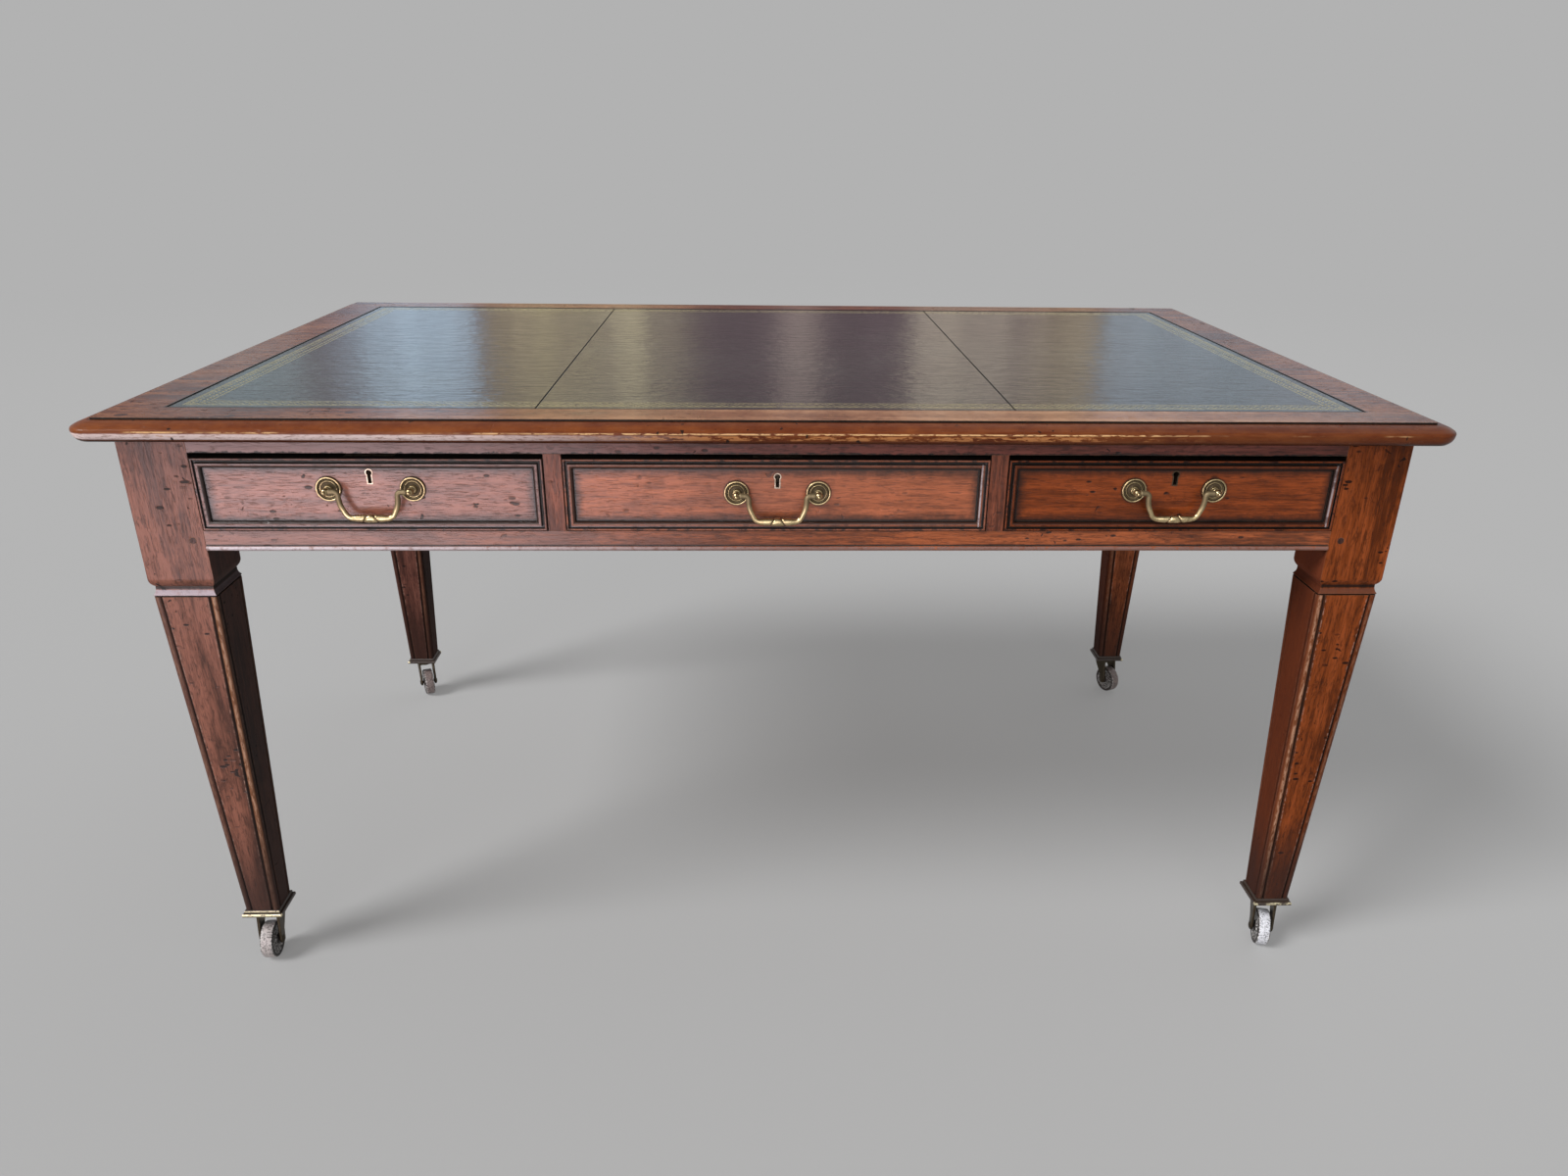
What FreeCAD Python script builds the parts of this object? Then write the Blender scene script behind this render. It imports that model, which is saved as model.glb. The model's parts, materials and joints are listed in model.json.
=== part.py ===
"""Partners desk: leather-topped mahogany writing table with three drawers on each long side, on castors.

Frame: millimetres, +Z up, floor at Z = 0, origin under the middle of the top, X along the length.
The "near" side faces -Y and the "far" side faces +Y; left is -X and right is +X.
"""

import FreeCAD
import Part
import math
import os

import Sketcher

Vector = FreeCAD.Vector
Rotation = FreeCAD.Rotation

DRIVING_SIZES = [
    # the top
    ("desk_width", 1524, "length of the top along X"),
    ("desk_depth", 940, "depth of the top along Y"),
    ("desk_height", 753, "floor to the writing surface"),
    ("top_thickness", 23, "moulded top board"),
    ("top_overhang", 35, "top beyond the outer faces of the legs"),
    ("flat_corner_radius", 3, "plan radius at the corners of the flat"),
    ("nosing_step", 21, "flat of the top stops this far from its edge"),
    ("nosing_fall", 2, "step down at the end of the flat"),
    ("nosing_height", 9.5, "thumb moulding above its widest line"),
    ("nosing_round", 4.5, "small round of the thumb at its widest line"),
    ("nosing_tuck", 7, "underside stops this far from the edge"),
    ("leather_margin_side", 78, "wood border beside the leather"),
    ("leather_margin_front", 73, "wood border in front of and behind the leather"),
    ("leather_recess", 2, "depth of the recess for the leather"),
    ("leather_thickness", 1.6, "writing skin"),
    ("leather_centre_width", 548, "middle skin of the three"),
    ("leather_joint", 0.5, "gap between neighbouring skins"),
    # the legs
    ("leg_block", 75, "square block at the head of each leg"),
    ("block_height", 178.5, "block below the top board"),
    ("block_ovolo_height", 10, "ovolo along the lower edge of the block"),
    ("neck_size", 66, "square neck under the block"),
    ("neck_height", 2.5, "straight part of the neck"),
    ("cavetto_height", 8, "hollow from the neck out to the collar"),
    ("collar_size", 71.5, "square lip under the hollow"),
    ("collar_height", 0.8, "edge of the lip"),
    ("collar_quirk_size", 67, "narrow groove under the lip"),
    ("collar_quirk_height", 1.5, "narrow groove under the lip"),
    ("taper_top", 73, "leg width where the taper starts"),
    ("taper_bottom", 44, "leg width at the foot"),
    ("corner_bead_radius", 4.5, "round bead down each corner of the taper"),
    ("quirk_reach", 10.3, "corner of the leg to the edge of its flat panel"),
    ("quirk_angle", 30, "how far round the bead the quirk meets it, degrees"),
    # rails, aprons, dividers and the inner frame
    ("bottom_rail_height", 24, "rail under the drawers"),
    ("opening_height", 90.2, "drawer openings between the rails"),
    ("top_rail_height", 19.3, "rail over the drawers"),
    ("rail_depth", 70, "front to back of the rails and dividers"),
    ("rail_tenon_length", 30, "bottom rail tenon into the leg"),
    ("rail_tenon_width", 30, "bottom rail tenon, front to back"),
    ("rail_tenon_height", 14, "bottom rail tenon, up and down"),
    ("rail_tenon_setback", 14, "leg face to the near cheek of the rail tenon"),
    ("bead_radius", 3, "bead along the lower edge of rails and aprons"),
    ("bead_proud", 2.2, "bead beyond the face of the rail"),
    ("bead_lift", 0.15, "bead above the bottom of the rail"),
    ("dovetail_length", 25, "top rail dovetail into the head of the leg"),
    ("dovetail_narrow", 36, "width of the dovetail at its shoulder"),
    ("dovetail_wide", 48, "width of the dovetail at its end"),
    ("apron_thickness", 22, "end aprons"),
    ("apron_tenon_length", 30, "apron tenon into the leg"),
    ("apron_tenon_thickness", 10, "apron tenon across the apron"),
    ("apron_tenon_height", 90, "apron tenon, up and down"),
    ("apron_tenon_drop", 24, "top of the apron to the top of its tenon"),
    ("centre_opening", 485, "width of the middle drawer opening"),
    ("divider_width", 20, "upright between two drawers"),
    ("divider_stub_low", 8, "divider stub into the bottom rail"),
    ("divider_stub_high", 5, "divider stub into the top rail"),
    ("divider_stub_width", 9, "divider stub across the divider"),
    ("bearer_thickness", 22, "lengthwise bearer between the two banks of drawers"),
    ("bearer_housing", 6, "bearer let into each apron"),
    ("runner_thickness", 20, "drawer runners"),
    ("runner_shelf", 20, "runner beyond the edge of the opening"),
    ("guide_height", 22, "guides on the runners"),
    ("stop_length", 30, "drawer stop along X"),
    ("stop_width", 18, "drawer stop along Y"),
    ("stop_height", 6, "drawer stop above the rail"),
    ("stop_spread", 95, "drawer stops either side of the drawer centre"),
    ("stop_gap", 0.3, "shut drawer front to its stops"),
    ("peg_radius", 4, "draw-bore pegs through the tenons"),
    ("peg_length", 46, "pegs, face inward"),
    ("peg_inset", 14, "peg beyond the shoulder of its tenon"),
    ("screw_radius", 2.5, "shank of the top fixing screws"),
    ("screw_length", 33, "top fixing screws, head to tip"),
    ("screw_head_radius", 5, "countersunk heads"),
    ("screw_head_height", 3, "countersunk heads"),
    ("screw_inset", 120, "top fixing screws from the near and far faces"),
    # drawers
    ("front_side_gap", 1, "drawer front to each side of its opening"),
    ("front_top_gap", 5.2, "drawer front to the rail above"),
    ("front_bottom_gap", 0.5, "drawer front to the rail below"),
    ("front_setback", 1, "panel of the drawer front behind the rail face"),
    ("front_thickness", 21, "drawer front at its panel"),
    ("edge_bead_width", 3, "thin bead round the drawer front"),
    ("edge_bead_proud", 3, "edge bead above the panel"),
    ("edge_bead_radius", 1.4, "rounding of the edge bead"),
    ("ovolo_start", 5.4, "edge of the front to the ovolo"),
    ("ovolo_width", 6, "ovolo across"),
    ("ovolo_proud", 4.5, "crest of the ovolo above the panel"),
    ("ovolo_radius", 4, "round of the ovolo towards the panel"),
    ("ovolo_back_radius", 0.8, "outer edge of the ovolo"),
    ("side_thickness", 10, "drawer sides"),
    ("side_height", 81, "drawer sides"),
    ("side_lift", 0.3, "drawer sides above the runners"),
    ("drawer_back_gap", 13, "back of the drawer to the bearer"),
    ("back_thickness", 9, "drawer back"),
    ("back_height", 60, "drawer back above the drawer bottom"),
    ("bottom_thickness", 6, "drawer bottom board"),
    ("bottom_rise", 8.5, "drawer bottom above the lower edge of the sides"),
    ("groove_depth", 4, "drawer bottom let into the sides and front"),
    ("front_tail_length", 15, "lapped dovetails into the front"),
    ("tail_narrow", 11, "dovetail at its root"),
    ("tail_wide", 16, "dovetail at its end"),
    ("side_column_rise", 6.8, "handle above the middle of a side drawer front"),
    ("centre_column_rise", 2.8, "handle above the middle of a centre drawer front"),
    # handles
    ("handle_spread", 93.5, "between the two roses of a handle"),
    ("rose_radius", 14.7, "round backplate"),
    ("rose_thickness", 1.6, "backplate at its rim foot"),
    ("rose_rim_height", 3.4, "crest of the rim above the panel"),
    ("rose_rim_inner", 11.6, "inner foot of the rim"),
    ("rose_boss_radius", 4.6, "boss round the post"),
    ("rose_boss_height", 4.2, "boss above the panel"),
    ("post_radius", 2.5, "shank of the handle post"),
    ("post_head_radius", 4, "head of the post"),
    ("post_head_length", 8, "head of the post"),
    ("pivot_proud", 14, "bail pivot above the panel"),
    ("nut_across", 12, "nut behind the drawer front, corner to corner"),
    ("nut_thickness", 4, "nut behind the drawer front"),
    ("bail_radius", 2.1, "bail rod"),
    ("bail_shoulder_gap", 0.35, "bail shoulder to the head of the post"),
    ("bail_leg_spread", 65.5, "between the two uprights of the bail"),
    ("bail_drop", 32.5, "pivot to the middle of the grip"),
    ("bail_upper_bend", 5, "bend at the top of the bail"),
    ("bail_lower_bend", 10, "bend at the foot of the bail"),
    ("bail_pin_radius", 1.3, "pin of the bail in the post"),
    ("bail_pin_length", 3, "pin of the bail in the post"),
    ("bail_pin_clearance", 0.06, "radial clearance round the pin"),
    ("grip_half_length", 22, "swelling of the grip"),
    ("grip_taper", 7.2, "slope at each end of the swelling"),
    ("grip_radius", 3.3, "grip either side of its middle"),
    ("grip_block_half", 6.5, "raised block in the middle of the grip"),
    ("grip_block_radius", 4.4, "raised block in the middle of the grip"),
    # locks
    ("keyhole_rise", 14, "keyhole centre above the handle"),
    ("escutcheon_height", 18, "brass keyhole lining, overall"),
    ("escutcheon_head_radius", 4.4, "round head of the lining"),
    ("escutcheon_foot_width", 6.6, "straight part of the lining"),
    ("escutcheon_wall", 1.2, "thickness of the lining"),
    ("escutcheon_depth", 9, "lining into the drawer front"),
    ("escutcheon_proud", 0.3, "lining beyond the panel"),
    ("lock_width", 56, "lock case along X"),
    ("lock_height", 42, "lock case, up and down"),
    ("lock_depth", 12, "lock case, front to back"),
    ("lock_proud", 0.8, "lock case behind the drawer front"),
    ("lock_back_plate", 2, "blind end of the keyhole"),
    ("selvage_thickness", 2, "strip let into the top edge of the front"),
    ("selvage_width", 15, "strip let into the top edge of the front"),
    # castors
    ("plate_size", 52, "square castor plate"),
    ("plate_thickness", 4.5, "lower step of the castor plate"),
    ("plate_step_size", 46.5, "upper step of the castor plate"),
    ("plate_step_thickness", 4.5, "upper step of the castor plate"),
    ("plate_edge_radius", 1.8, "rounded edges of the castor plate"),
    ("plate_underside", 71, "floor to the castor plate"),
    ("stem_radius", 4.5, "stem of the plate in the leg"),
    ("stem_length", 40, "stem of the plate in the leg"),
    ("pintle_radius", 5, "swivel pin"),
    ("pintle_head_radius", 7, "riveted head of the swivel pin"),
    ("pintle_head_height", 3, "riveted head of the swivel pin"),
    ("swivel_gap", 0.3, "plate and pin head to the crown of the horns"),
    ("swivel_clearance", 0.05, "radial clearance of the swivel pin"),
    ("crown_length", 30, "crown of the horns, across the wheel"),
    ("crown_width", 26, "crown of the horns, along the wheel"),
    ("crown_thickness", 8.5, "crown of the horns"),
    ("horn_thickness", 3.4, "side arm"),
    ("horn_eye_radius", 6.5, "eye of the arm round the axle"),
    ("horn_sweep_radius", 46, "curve of both edges of the arm"),
    ("castor_trail", 12, "swivel axis to the axle"),
    ("wheel_radius", 25, "castor wheel"),
    ("wheel_width", 17, "tread across"),
    ("wheel_edge", 3, "rounded edge of the tread"),
    ("wheel_hub_width", 19, "hub across"),
    ("wheel_hub_radius", 7, "hub"),
    ("wheel_dish", 1.8, "dish of the wheel sides"),
    ("wheel_rim_radius", 20.5, "inner edge of the ring at the tread"),
    ("axle_radius", 3, "castor axle"),
    ("axle_clearance", 0.06, "radial clearance of the wheel on its axle"),
    ("axle_head_radius", 4.6, "riveted ends of the axle"),
    ("axle_head_length", 1.4, "riveted ends of the axle"),
]

# how far each castor has swivelled from trailing towards -Y, in degrees
CASTOR_TURN = {"near_left": 3, "near_right": -13, "far_left": 23, "far_right": 25}


class Size:
    """A length that keeps its number and the sheet expression that gives it."""

    def __init__(self, value, text):
        self.value = value
        self.text = text

    def __add__(self, other):
        return joined(self, "+", other)

    def __radd__(self, other):
        return joined(other, "+", self)

    def __sub__(self, other):
        return joined(self, "-", other)

    def __rsub__(self, other):
        return joined(other, "-", self)

    def __mul__(self, other):
        return joined(self, "*", other)

    def __rmul__(self, other):
        return joined(other, "*", self)

    def __truediv__(self, other):
        return joined(self, "/", other)

    def __neg__(self):
        return joined(0, "-", self)


def as_size(value):
    """A plain number as a Size, so that both can be joined."""
    if isinstance(value, Size):
        return value
    return Size(float(value), f"({value:g})")


def joined(left, sign, right):
    """The sum, difference, product or quotient of two sizes, as number and expression."""
    left, right = as_size(left), as_size(right)
    results = {
        "+": lambda: left.value + right.value,
        "-": lambda: left.value - right.value,
        "*": lambda: left.value * right.value,
        "/": lambda: left.value / right.value,
    }
    return Size(results[sign](), f"({left.text} {sign} {right.text})")


def cosine(angle):
    return Size(math.cos(math.radians(angle.value)), f"cos({angle.text})")


def sine(angle):
    return Size(math.sin(math.radians(angle.value)), f"sin({angle.text})")


document = FreeCAD.newDocument("partners_desk")


def fill_sheet():
    """Write the driving sizes into the sheet and return them as Size values by name."""
    sheet = document.addObject("Spreadsheet::Sheet", "Sizes")
    sizes = {}
    for row, (name, value, meaning) in enumerate(DRIVING_SIZES, start=1):
        sheet.set(f"A{row}", f"{value:g}")
        sheet.setAlias(f"A{row}", name)
        sheet.set(f"B{row}", meaning)
        sizes[name] = Size(float(value), f"Sizes.{name}")
    document.recompute()
    return sizes


class Sizes:
    """The driving sizes as attributes."""

    def __init__(self, values):
        self.__dict__.update(values)


S = Sizes(fill_sheet())
NODES = []


# ---------------------------------------------------------------- places worked out from the sizes

UNDERSIDE = S.desk_height - S.top_thickness
OPENING_TOP = UNDERSIDE - S.top_rail_height
OPENING_FLOOR = OPENING_TOP - S.opening_height
FRAME_BOTTOM = OPENING_FLOOR - S.bottom_rail_height
APRON_HEIGHT = UNDERSIDE - FRAME_BOTTOM
FRAME_X = S.desk_width / 2 - S.top_overhang
FRAME_Y = S.desk_depth / 2 - S.top_overhang
LEG_X = FRAME_X - S.leg_block / 2
LEG_Y = FRAME_Y - S.leg_block / 2
BETWEEN_LEGS_X = FRAME_X - S.leg_block
BETWEEN_LEGS_Y = FRAME_Y - S.leg_block
APRON_INNER_X = FRAME_X - S.apron_thickness
DIVIDER_X = (S.centre_opening + S.divider_width) / 2
SIDE_OPENING = BETWEEN_LEGS_X - DIVIDER_X - S.divider_width / 2
SIDE_COLUMN_X = BETWEEN_LEGS_X - SIDE_OPENING / 2
BLOCK_BOTTOM = UNDERSIDE - S.block_height
CAVETTO_TOP = BLOCK_BOTTOM - S.neck_height
COLLAR_TOP = CAVETTO_TOP - S.cavetto_height
COLLAR_BOTTOM = COLLAR_TOP - S.collar_height
TAPER_START = COLLAR_BOTTOM - S.collar_quirk_height
PLATE_TOP = S.plate_underside + S.plate_thickness + S.plate_step_thickness
PANEL_Y = S.front_setback - FRAME_Y
FRONT_BACK_Y = PANEL_Y + S.front_thickness
FRONT_BOTTOM = OPENING_FLOOR + S.front_bottom_gap
FRONT_TOP = OPENING_TOP - S.front_top_gap
FRONT_MIDDLE = (FRONT_BOTTOM + FRONT_TOP) / 2
SIDE_BOTTOM = OPENING_FLOOR + S.side_lift
DRAWER_END_Y = -(S.bearer_thickness / 2 + S.drawer_back_gap)
BOTTOM_UNDER = SIDE_BOTTOM + S.bottom_rise
BOTTOM_UPPER = BOTTOM_UNDER + S.bottom_thickness

SIDES_X = {"left": -1, "right": 1}
SIDES_Y = {"near": -1, "far": 1}
HALF_TURN = 180
HIDDEN_OVERLAP = 1


# ---------------------------------------------------------------- small building helpers

def place(item, x, y, z, rotation=None):
    """Bind an object's position to the sheet, with a fixed rotation."""
    item.Placement = FreeCAD.Placement(Vector(), rotation or Rotation())
    for axis, size in zip("xyz", (x, y, z)):
        item.setExpression(f"Placement.Base.{axis}", as_size(size).text)
    return item


def bind(item, **sizes):
    """Bind an object's properties to the sheet."""
    for name, size in sizes.items():
        item.setExpression(name, as_size(size).text)
    return item


ALONG = {
    "x": Rotation(Vector(0, 1, 0), 90),
    "y": Rotation(Vector(1, 0, 0), -90),
    "z": Rotation(),
}


def board(name, low, lengths):
    """A rectangular board from its lowest corner and its three lengths."""
    item = document.addObject("Part::Box", name)
    bind(item, Length=lengths[0], Width=lengths[1], Height=lengths[2])
    return place(item, *low)


def rod(name, radius, length, start, axis):
    """A round rod from its start point along +x, +y or +z."""
    item = document.addObject("Part::Cylinder", name)
    bind(item, Radius=radius, Height=length)
    return place(item, *start, ALONG[axis])


def cone(name, radius_start, radius_end, length, start, axis):
    item = document.addObject("Part::Cone", name)
    bind(item, Radius1=radius_start, Radius2=radius_end, Height=length)
    return place(item, *start, ALONG[axis])


def tail(name, narrow, wide, thickness, length, root, turn):
    """A dovetail that widens from its root along local +y and is thickness high along local z."""
    item = document.addObject("Part::Wedge", name)
    bind(
        item,
        Xmin=-narrow / 2, Xmax=narrow / 2, Ymin=0, Ymax=length, Zmin=0, Zmax=thickness,
        X2min=-wide / 2, X2max=wide / 2, Z2min=0, Z2max=thickness,
    )
    return place(item, *root, turn)


def fused(name, items):
    item = document.addObject("Part::MultiFuse", name)
    item.Shapes = items
    return item


def without(name, base, tools):
    """The base with the tools cut away."""
    item = document.addObject("Part::Cut", name)
    item.Base = base
    item.Tool = tools[0] if len(tools) == 1 else fused(f"{name}_tools", tools)
    return item


def group(name, items):
    """Separate solids kept together."""
    item = document.addObject("Part::Compound", name)
    item.Links = items
    return item


def copy_of(name, item, x=0, y=0, z=0, turn=0):
    """The item again, turned about Z through its own origin and then moved."""
    return place(group(name, [item]), x, y, z, Rotation(Vector(0, 0, 1), turn))


def node(name, item):
    """Keep an object as a node of the part, under the name of its file."""
    item.Label = name
    NODES.append(item)
    return item


def new_body(name):
    return document.addObject("PartDesign::Body", name)


def body_box(body, name, low, lengths, kind="Additive"):
    item = body.newObject(f"PartDesign::{kind}Box", f"{body.Name}_{name}")
    bind(item, Length=lengths[0], Width=lengths[1], Height=lengths[2])
    return place(item, *low)


def rounded(body, name, feature, radius, wanted):
    """Fillet those edges of a feature for which wanted(low corner, high corner) is true."""
    document.recompute()
    edges = []
    for number, edge in enumerate(feature.Shape.Edges, start=1):
        box = edge.BoundBox
        if wanted(Vector(box.XMin, box.YMin, box.ZMin), Vector(box.XMax, box.YMax, box.ZMax)):
            edges.append(f"Edge{number}")
    item = body.newObject("PartDesign::Fillet", f"{body.Name}_{name}")
    item.Base = (feature, edges)
    bind(item, Radius=radius)
    return item


TOLERANCE = 0.01


def near(one, other):
    return abs(one - as_size(other).value) < TOLERANCE


def is_upright(low, high):
    """An edge that stands straight up."""
    return near(low.x, high.x) and near(low.y, high.y)


def level_at(low, high, z):
    return near(low.z, z) and near(high.z, z)


def sketch_in(body, name, plane, offset=0):
    """A sketch on one of the body's origin planes, moved along the plane's normal."""
    sketch = body.newObject("Sketcher::SketchObject", f"{body.Name}_{name}")
    support = [item for item in body.Origin.OriginFeatures if item.Role == plane][0]
    sketch.AttachmentSupport = [(support, "")]
    sketch.MapMode = "FlatFace"
    sketch.setExpression("AttachmentOffset.Base.z", as_size(offset).text)
    return sketch


START, END, CENTRE, ORIGIN = 1, 2, 3, -1


def hold(sketch, curve, point, x=None, y=None):
    """Hold one point of a curve at its distance from the sketch origin."""
    for kind, size in (("DistanceX", x), ("DistanceY", y)):
        if size is not None:
            size = as_size(size)
            rule = Sketcher.Constraint(kind, ORIGIN, START, curve, point, size.value)
            number = sketch.addConstraint(rule)
            sketch.setExpression(f"Constraints[{number}]", size.text)


def hold_radius(sketch, curve, radius):
    number = sketch.addConstraint(Sketcher.Constraint("Radius", curve, radius.value))
    sketch.setExpression(f"Constraints[{number}]", radius.text)


def polygon(sketch, points):
    """A closed outline of straight lines through the points."""
    points = [(as_size(x), as_size(y)) for x, y in points]
    first = sketch.GeometryCount
    count = len(points)
    for index, (x, y) in enumerate(points):
        next_x, next_y = points[(index + 1) % count]
        line = Part.LineSegment(Vector(x.value, y.value, 0), Vector(next_x.value, next_y.value, 0))
        sketch.addGeometry(line, False)
    for index, (x, y) in enumerate(points):
        following = first + (index + 1) % count
        sketch.addConstraint(Sketcher.Constraint("Coincident", first + index, END, following, START))
        hold(sketch, first + index, START, x, y)
    return sketch


def rectangle(sketch, low_x, low_y, high_x, high_y):
    return polygon(sketch, [(low_x, low_y), (high_x, low_y), (high_x, high_y), (low_x, high_y)])


LEFT_TURN, RIGHT_TURN = 1, -1


def outline(sketch, corners):
    """A closed outline through corners of (x, y) or (x, y, radius, turn): the last two make the side
    that starts there an arc, which turns left or right on its way to the next corner."""
    points = [(as_size(corner[0]), as_size(corner[1])) for corner in corners]
    ends = []
    for index, corner in enumerate(corners):
        start, finish = points[index], points[(index + 1) % len(points)]
        if len(corner) == 2:
            ends.append((sketch.addGeometry(line_between(start, finish), False), START, END))
            continue
        radius, turn = corner[2:]
        low, high = Vector(start[0].value, start[1].value, 0), Vector(finish[0].value, finish[1].value, 0)
        chord = high - low
        sideways = Vector(-chord.y, chord.x, 0).normalize()
        centre = (low + high) / 2 + sideways * turn * math.sqrt(radius.value**2 - chord.Length**2 / 4)
        if turn == RIGHT_TURN:
            low, high = high, low
        angles = [math.atan2(point.y - centre.y, point.x - centre.x) for point in (low, high)]
        circle = Part.Circle(centre, Vector(0, 0, 1), radius.value)
        curve = sketch.addGeometry(Part.ArcOfCircle(circle, *angles), False)
        hold_radius(sketch, curve, radius)
        ends.append((curve, START, END) if turn == LEFT_TURN else (curve, END, START))
    for index, (curve, first, _) in enumerate(ends):
        before, _, last = ends[index - 1]
        sketch.addConstraint(Sketcher.Constraint("Coincident", before, last, curve, first))
        hold(sketch, curve, first, *points[index])
    return sketch


def easy_radius(along, across):
    """Radius of the arc that leaves a straight side smoothly and is off it by across after along."""
    return (along * along + across * across) / (2 * across)


def padded(body, name, sketch, length):
    item = body.newObject("PartDesign::Pad", f"{body.Name}_{name}")
    item.Profile = sketch
    return bind(item, Length=length)


def turned_solid(body, name, sketch, axis):
    """A full revolution of a sketch about its own horizontal or vertical axis."""
    item = body.newObject("PartDesign::Revolution", f"{body.Name}_{name}")
    item.Profile = sketch
    item.ReferenceAxis = (sketch, [axis])
    item.Angle = 360
    return item


# ---------------------------------------------------------------- the top and its leather

def nosing_corners():
    """Section of the thumb moulding on the far edge, from the underside up and round to its inner end."""
    edge = S.desk_depth / 2
    widest = S.desk_height - S.nosing_fall - S.nosing_height
    run = S.nosing_step - S.nosing_round
    round_squared = S.nosing_round * S.nosing_round
    upper_radius = (
        (run * run + S.nosing_height * S.nosing_height - round_squared)
        / (2 * (S.nosing_height - S.nosing_round))
    )
    share = S.nosing_round / (upper_radius - S.nosing_round)
    meeting = (
        edge - S.nosing_round + run * share,
        widest + (upper_radius - S.nosing_height) * share,
    )
    inner = edge - S.nosing_step - HIDDEN_OVERLAP
    return [
        (edge - S.nosing_tuck, UNDERSIDE, easy_radius(widest - UNDERSIDE, S.nosing_tuck), LEFT_TURN),
        (edge, widest, S.nosing_round, LEFT_TURN),
        (*meeting, upper_radius, LEFT_TURN),
        (edge - S.nosing_step, widest + S.nosing_height),
        (inner, widest + S.nosing_height),
        (inner, UNDERSIDE),
    ]


def build_top(screws):
    """One board with a thumb-moulded edge and a shallow recess for the leather."""
    half_x, half_y = S.desk_width / 2, S.desk_depth / 2
    flat_x, flat_y = half_x - S.nosing_step, half_y - S.nosing_step
    flat = new_body("top_flat")
    slab = body_box(flat, "slab", (-flat_x, -flat_y, UNDERSIDE), (2 * flat_x, 2 * flat_y, S.top_thickness))
    rounded(flat, "corners", slab, S.flat_corner_radius, is_upright)
    nosing = new_body("top_nosing")
    path = sketch_in(nosing, "path", "XY_Plane", UNDERSIDE)
    way_round = [(0, flat_y), (-flat_x, flat_y), (-flat_x, -flat_y), (flat_x, -flat_y), (flat_x, flat_y),
                 (0, flat_y)]
    bent_line(path, way_round, [S.flat_corner_radius] * 4)
    section = outline(sketch_in(nosing, "section", "YZ_Plane"), nosing_corners())
    sweep = nosing.newObject("PartDesign::AdditivePipe", "top_nosing_sweep")
    sweep.Profile = section
    sweep.Spine = (path, [f"Edge{number}" for number in range(1, path.GeometryCount + 1)])
    recess = board(
        "leather_recess",
        (S.leather_margin_side - half_x, S.leather_margin_front - half_y,
         S.desk_height - S.leather_recess),
        (S.desk_width - 2 * S.leather_margin_side, S.desk_depth - 2 * S.leather_margin_front,
         S.leather_recess + HIDDEN_OVERLAP),
    )
    whole = fused("top_whole", [flat, nosing])
    node("top_board", without("top_board_cut", whole, [recess, screws]))


def build_leathers():
    """Three skins side by side in the recess."""
    side_edge = S.desk_width / 2 - S.leather_margin_side
    centre_half = S.leather_centre_width / 2
    spans = {
        "left": (-side_edge, -centre_half - S.leather_joint / 2),
        "centre": (S.leather_joint / 2 - centre_half, centre_half - S.leather_joint / 2),
        "right": (centre_half + S.leather_joint / 2, side_edge),
    }
    skins = []
    for name, (start, end) in spans.items():
        skins.append(board(
            f"leather_{name}_skin",
            (start, S.leather_margin_front - S.desk_depth / 2, S.desk_height - S.leather_recess),
            (end - start, S.desk_depth - 2 * S.leather_margin_front, S.leather_thickness),
        ))
    node("writing_leathers", group("leather_set", skins))


# ---------------------------------------------------------------- legs

def quarter_turned(quarter, x, y):
    """The point turned by so many quarter turns about the origin; a missing coordinate stays so."""
    for _ in range(quarter):
        x, y = (None if y is None else -y), x
    return x, y


def beaded_square(sketch, width):
    """A square outline with a round bead between two quirks at each corner."""
    half = width / 2
    centre = half - S.corner_bead_radius
    along = S.corner_bead_radius * cosine(S.quirk_angle)
    out = S.corner_bead_radius * sine(S.quirk_angle)
    start_angle, end_angle = -90 + S.quirk_angle.value, 180 - S.quirk_angle.value
    arris = half - S.quirk_reach
    corners = []
    for quarter in range(4):
        before = quarter_turned(quarter, half, arris)
        low = quarter_turned(quarter, centre + out, centre - along)
        middle = quarter_turned(quarter, centre, centre)
        high = quarter_turned(quarter, centre - along, centre + out)
        after = quarter_turned(quarter, arris, half)
        swing = math.radians(90 * quarter)
        circle = Part.Circle(
            Vector(middle[0].value, middle[1].value, 0), Vector(0, 0, 1), S.corner_bead_radius.value
        )
        inward = sketch.addGeometry(line_between(before, low), False)
        bead = sketch.addGeometry(
            Part.ArcOfCircle(circle, math.radians(start_angle) + swing, math.radians(end_angle) + swing),
            False,
        )
        outward = sketch.addGeometry(line_between(high, after), False)
        sketch.addConstraint(Sketcher.Constraint("Coincident", inward, END, bead, START))
        sketch.addConstraint(Sketcher.Constraint("Coincident", bead, END, outward, START))
        hold(sketch, inward, START, *before)
        hold(sketch, outward, END, *after)
        hold(sketch, bead, CENTRE, *middle)
        hold_radius(sketch, bead, S.corner_bead_radius)
        hold(sketch, bead, START, *quarter_turned(quarter, None, centre - along))
        hold(sketch, bead, END, *quarter_turned(quarter, centre - along, None))
        corners.append((inward, outward, before, after))
    for index, (_, outward, _, after) in enumerate(corners):
        inward, _, before, _ = corners[(index + 1) % 4]
        face = sketch.addGeometry(line_between(after, before), False)
        sketch.addConstraint(Sketcher.Constraint("Coincident", outward, END, face, START))
        sketch.addConstraint(Sketcher.Constraint("Coincident", face, END, inward, START))


def line_between(start, end):
    return Part.LineSegment(
        Vector(start[0].value, start[1].value, 0), Vector(end[0].value, end[1].value, 0)
    )


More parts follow.
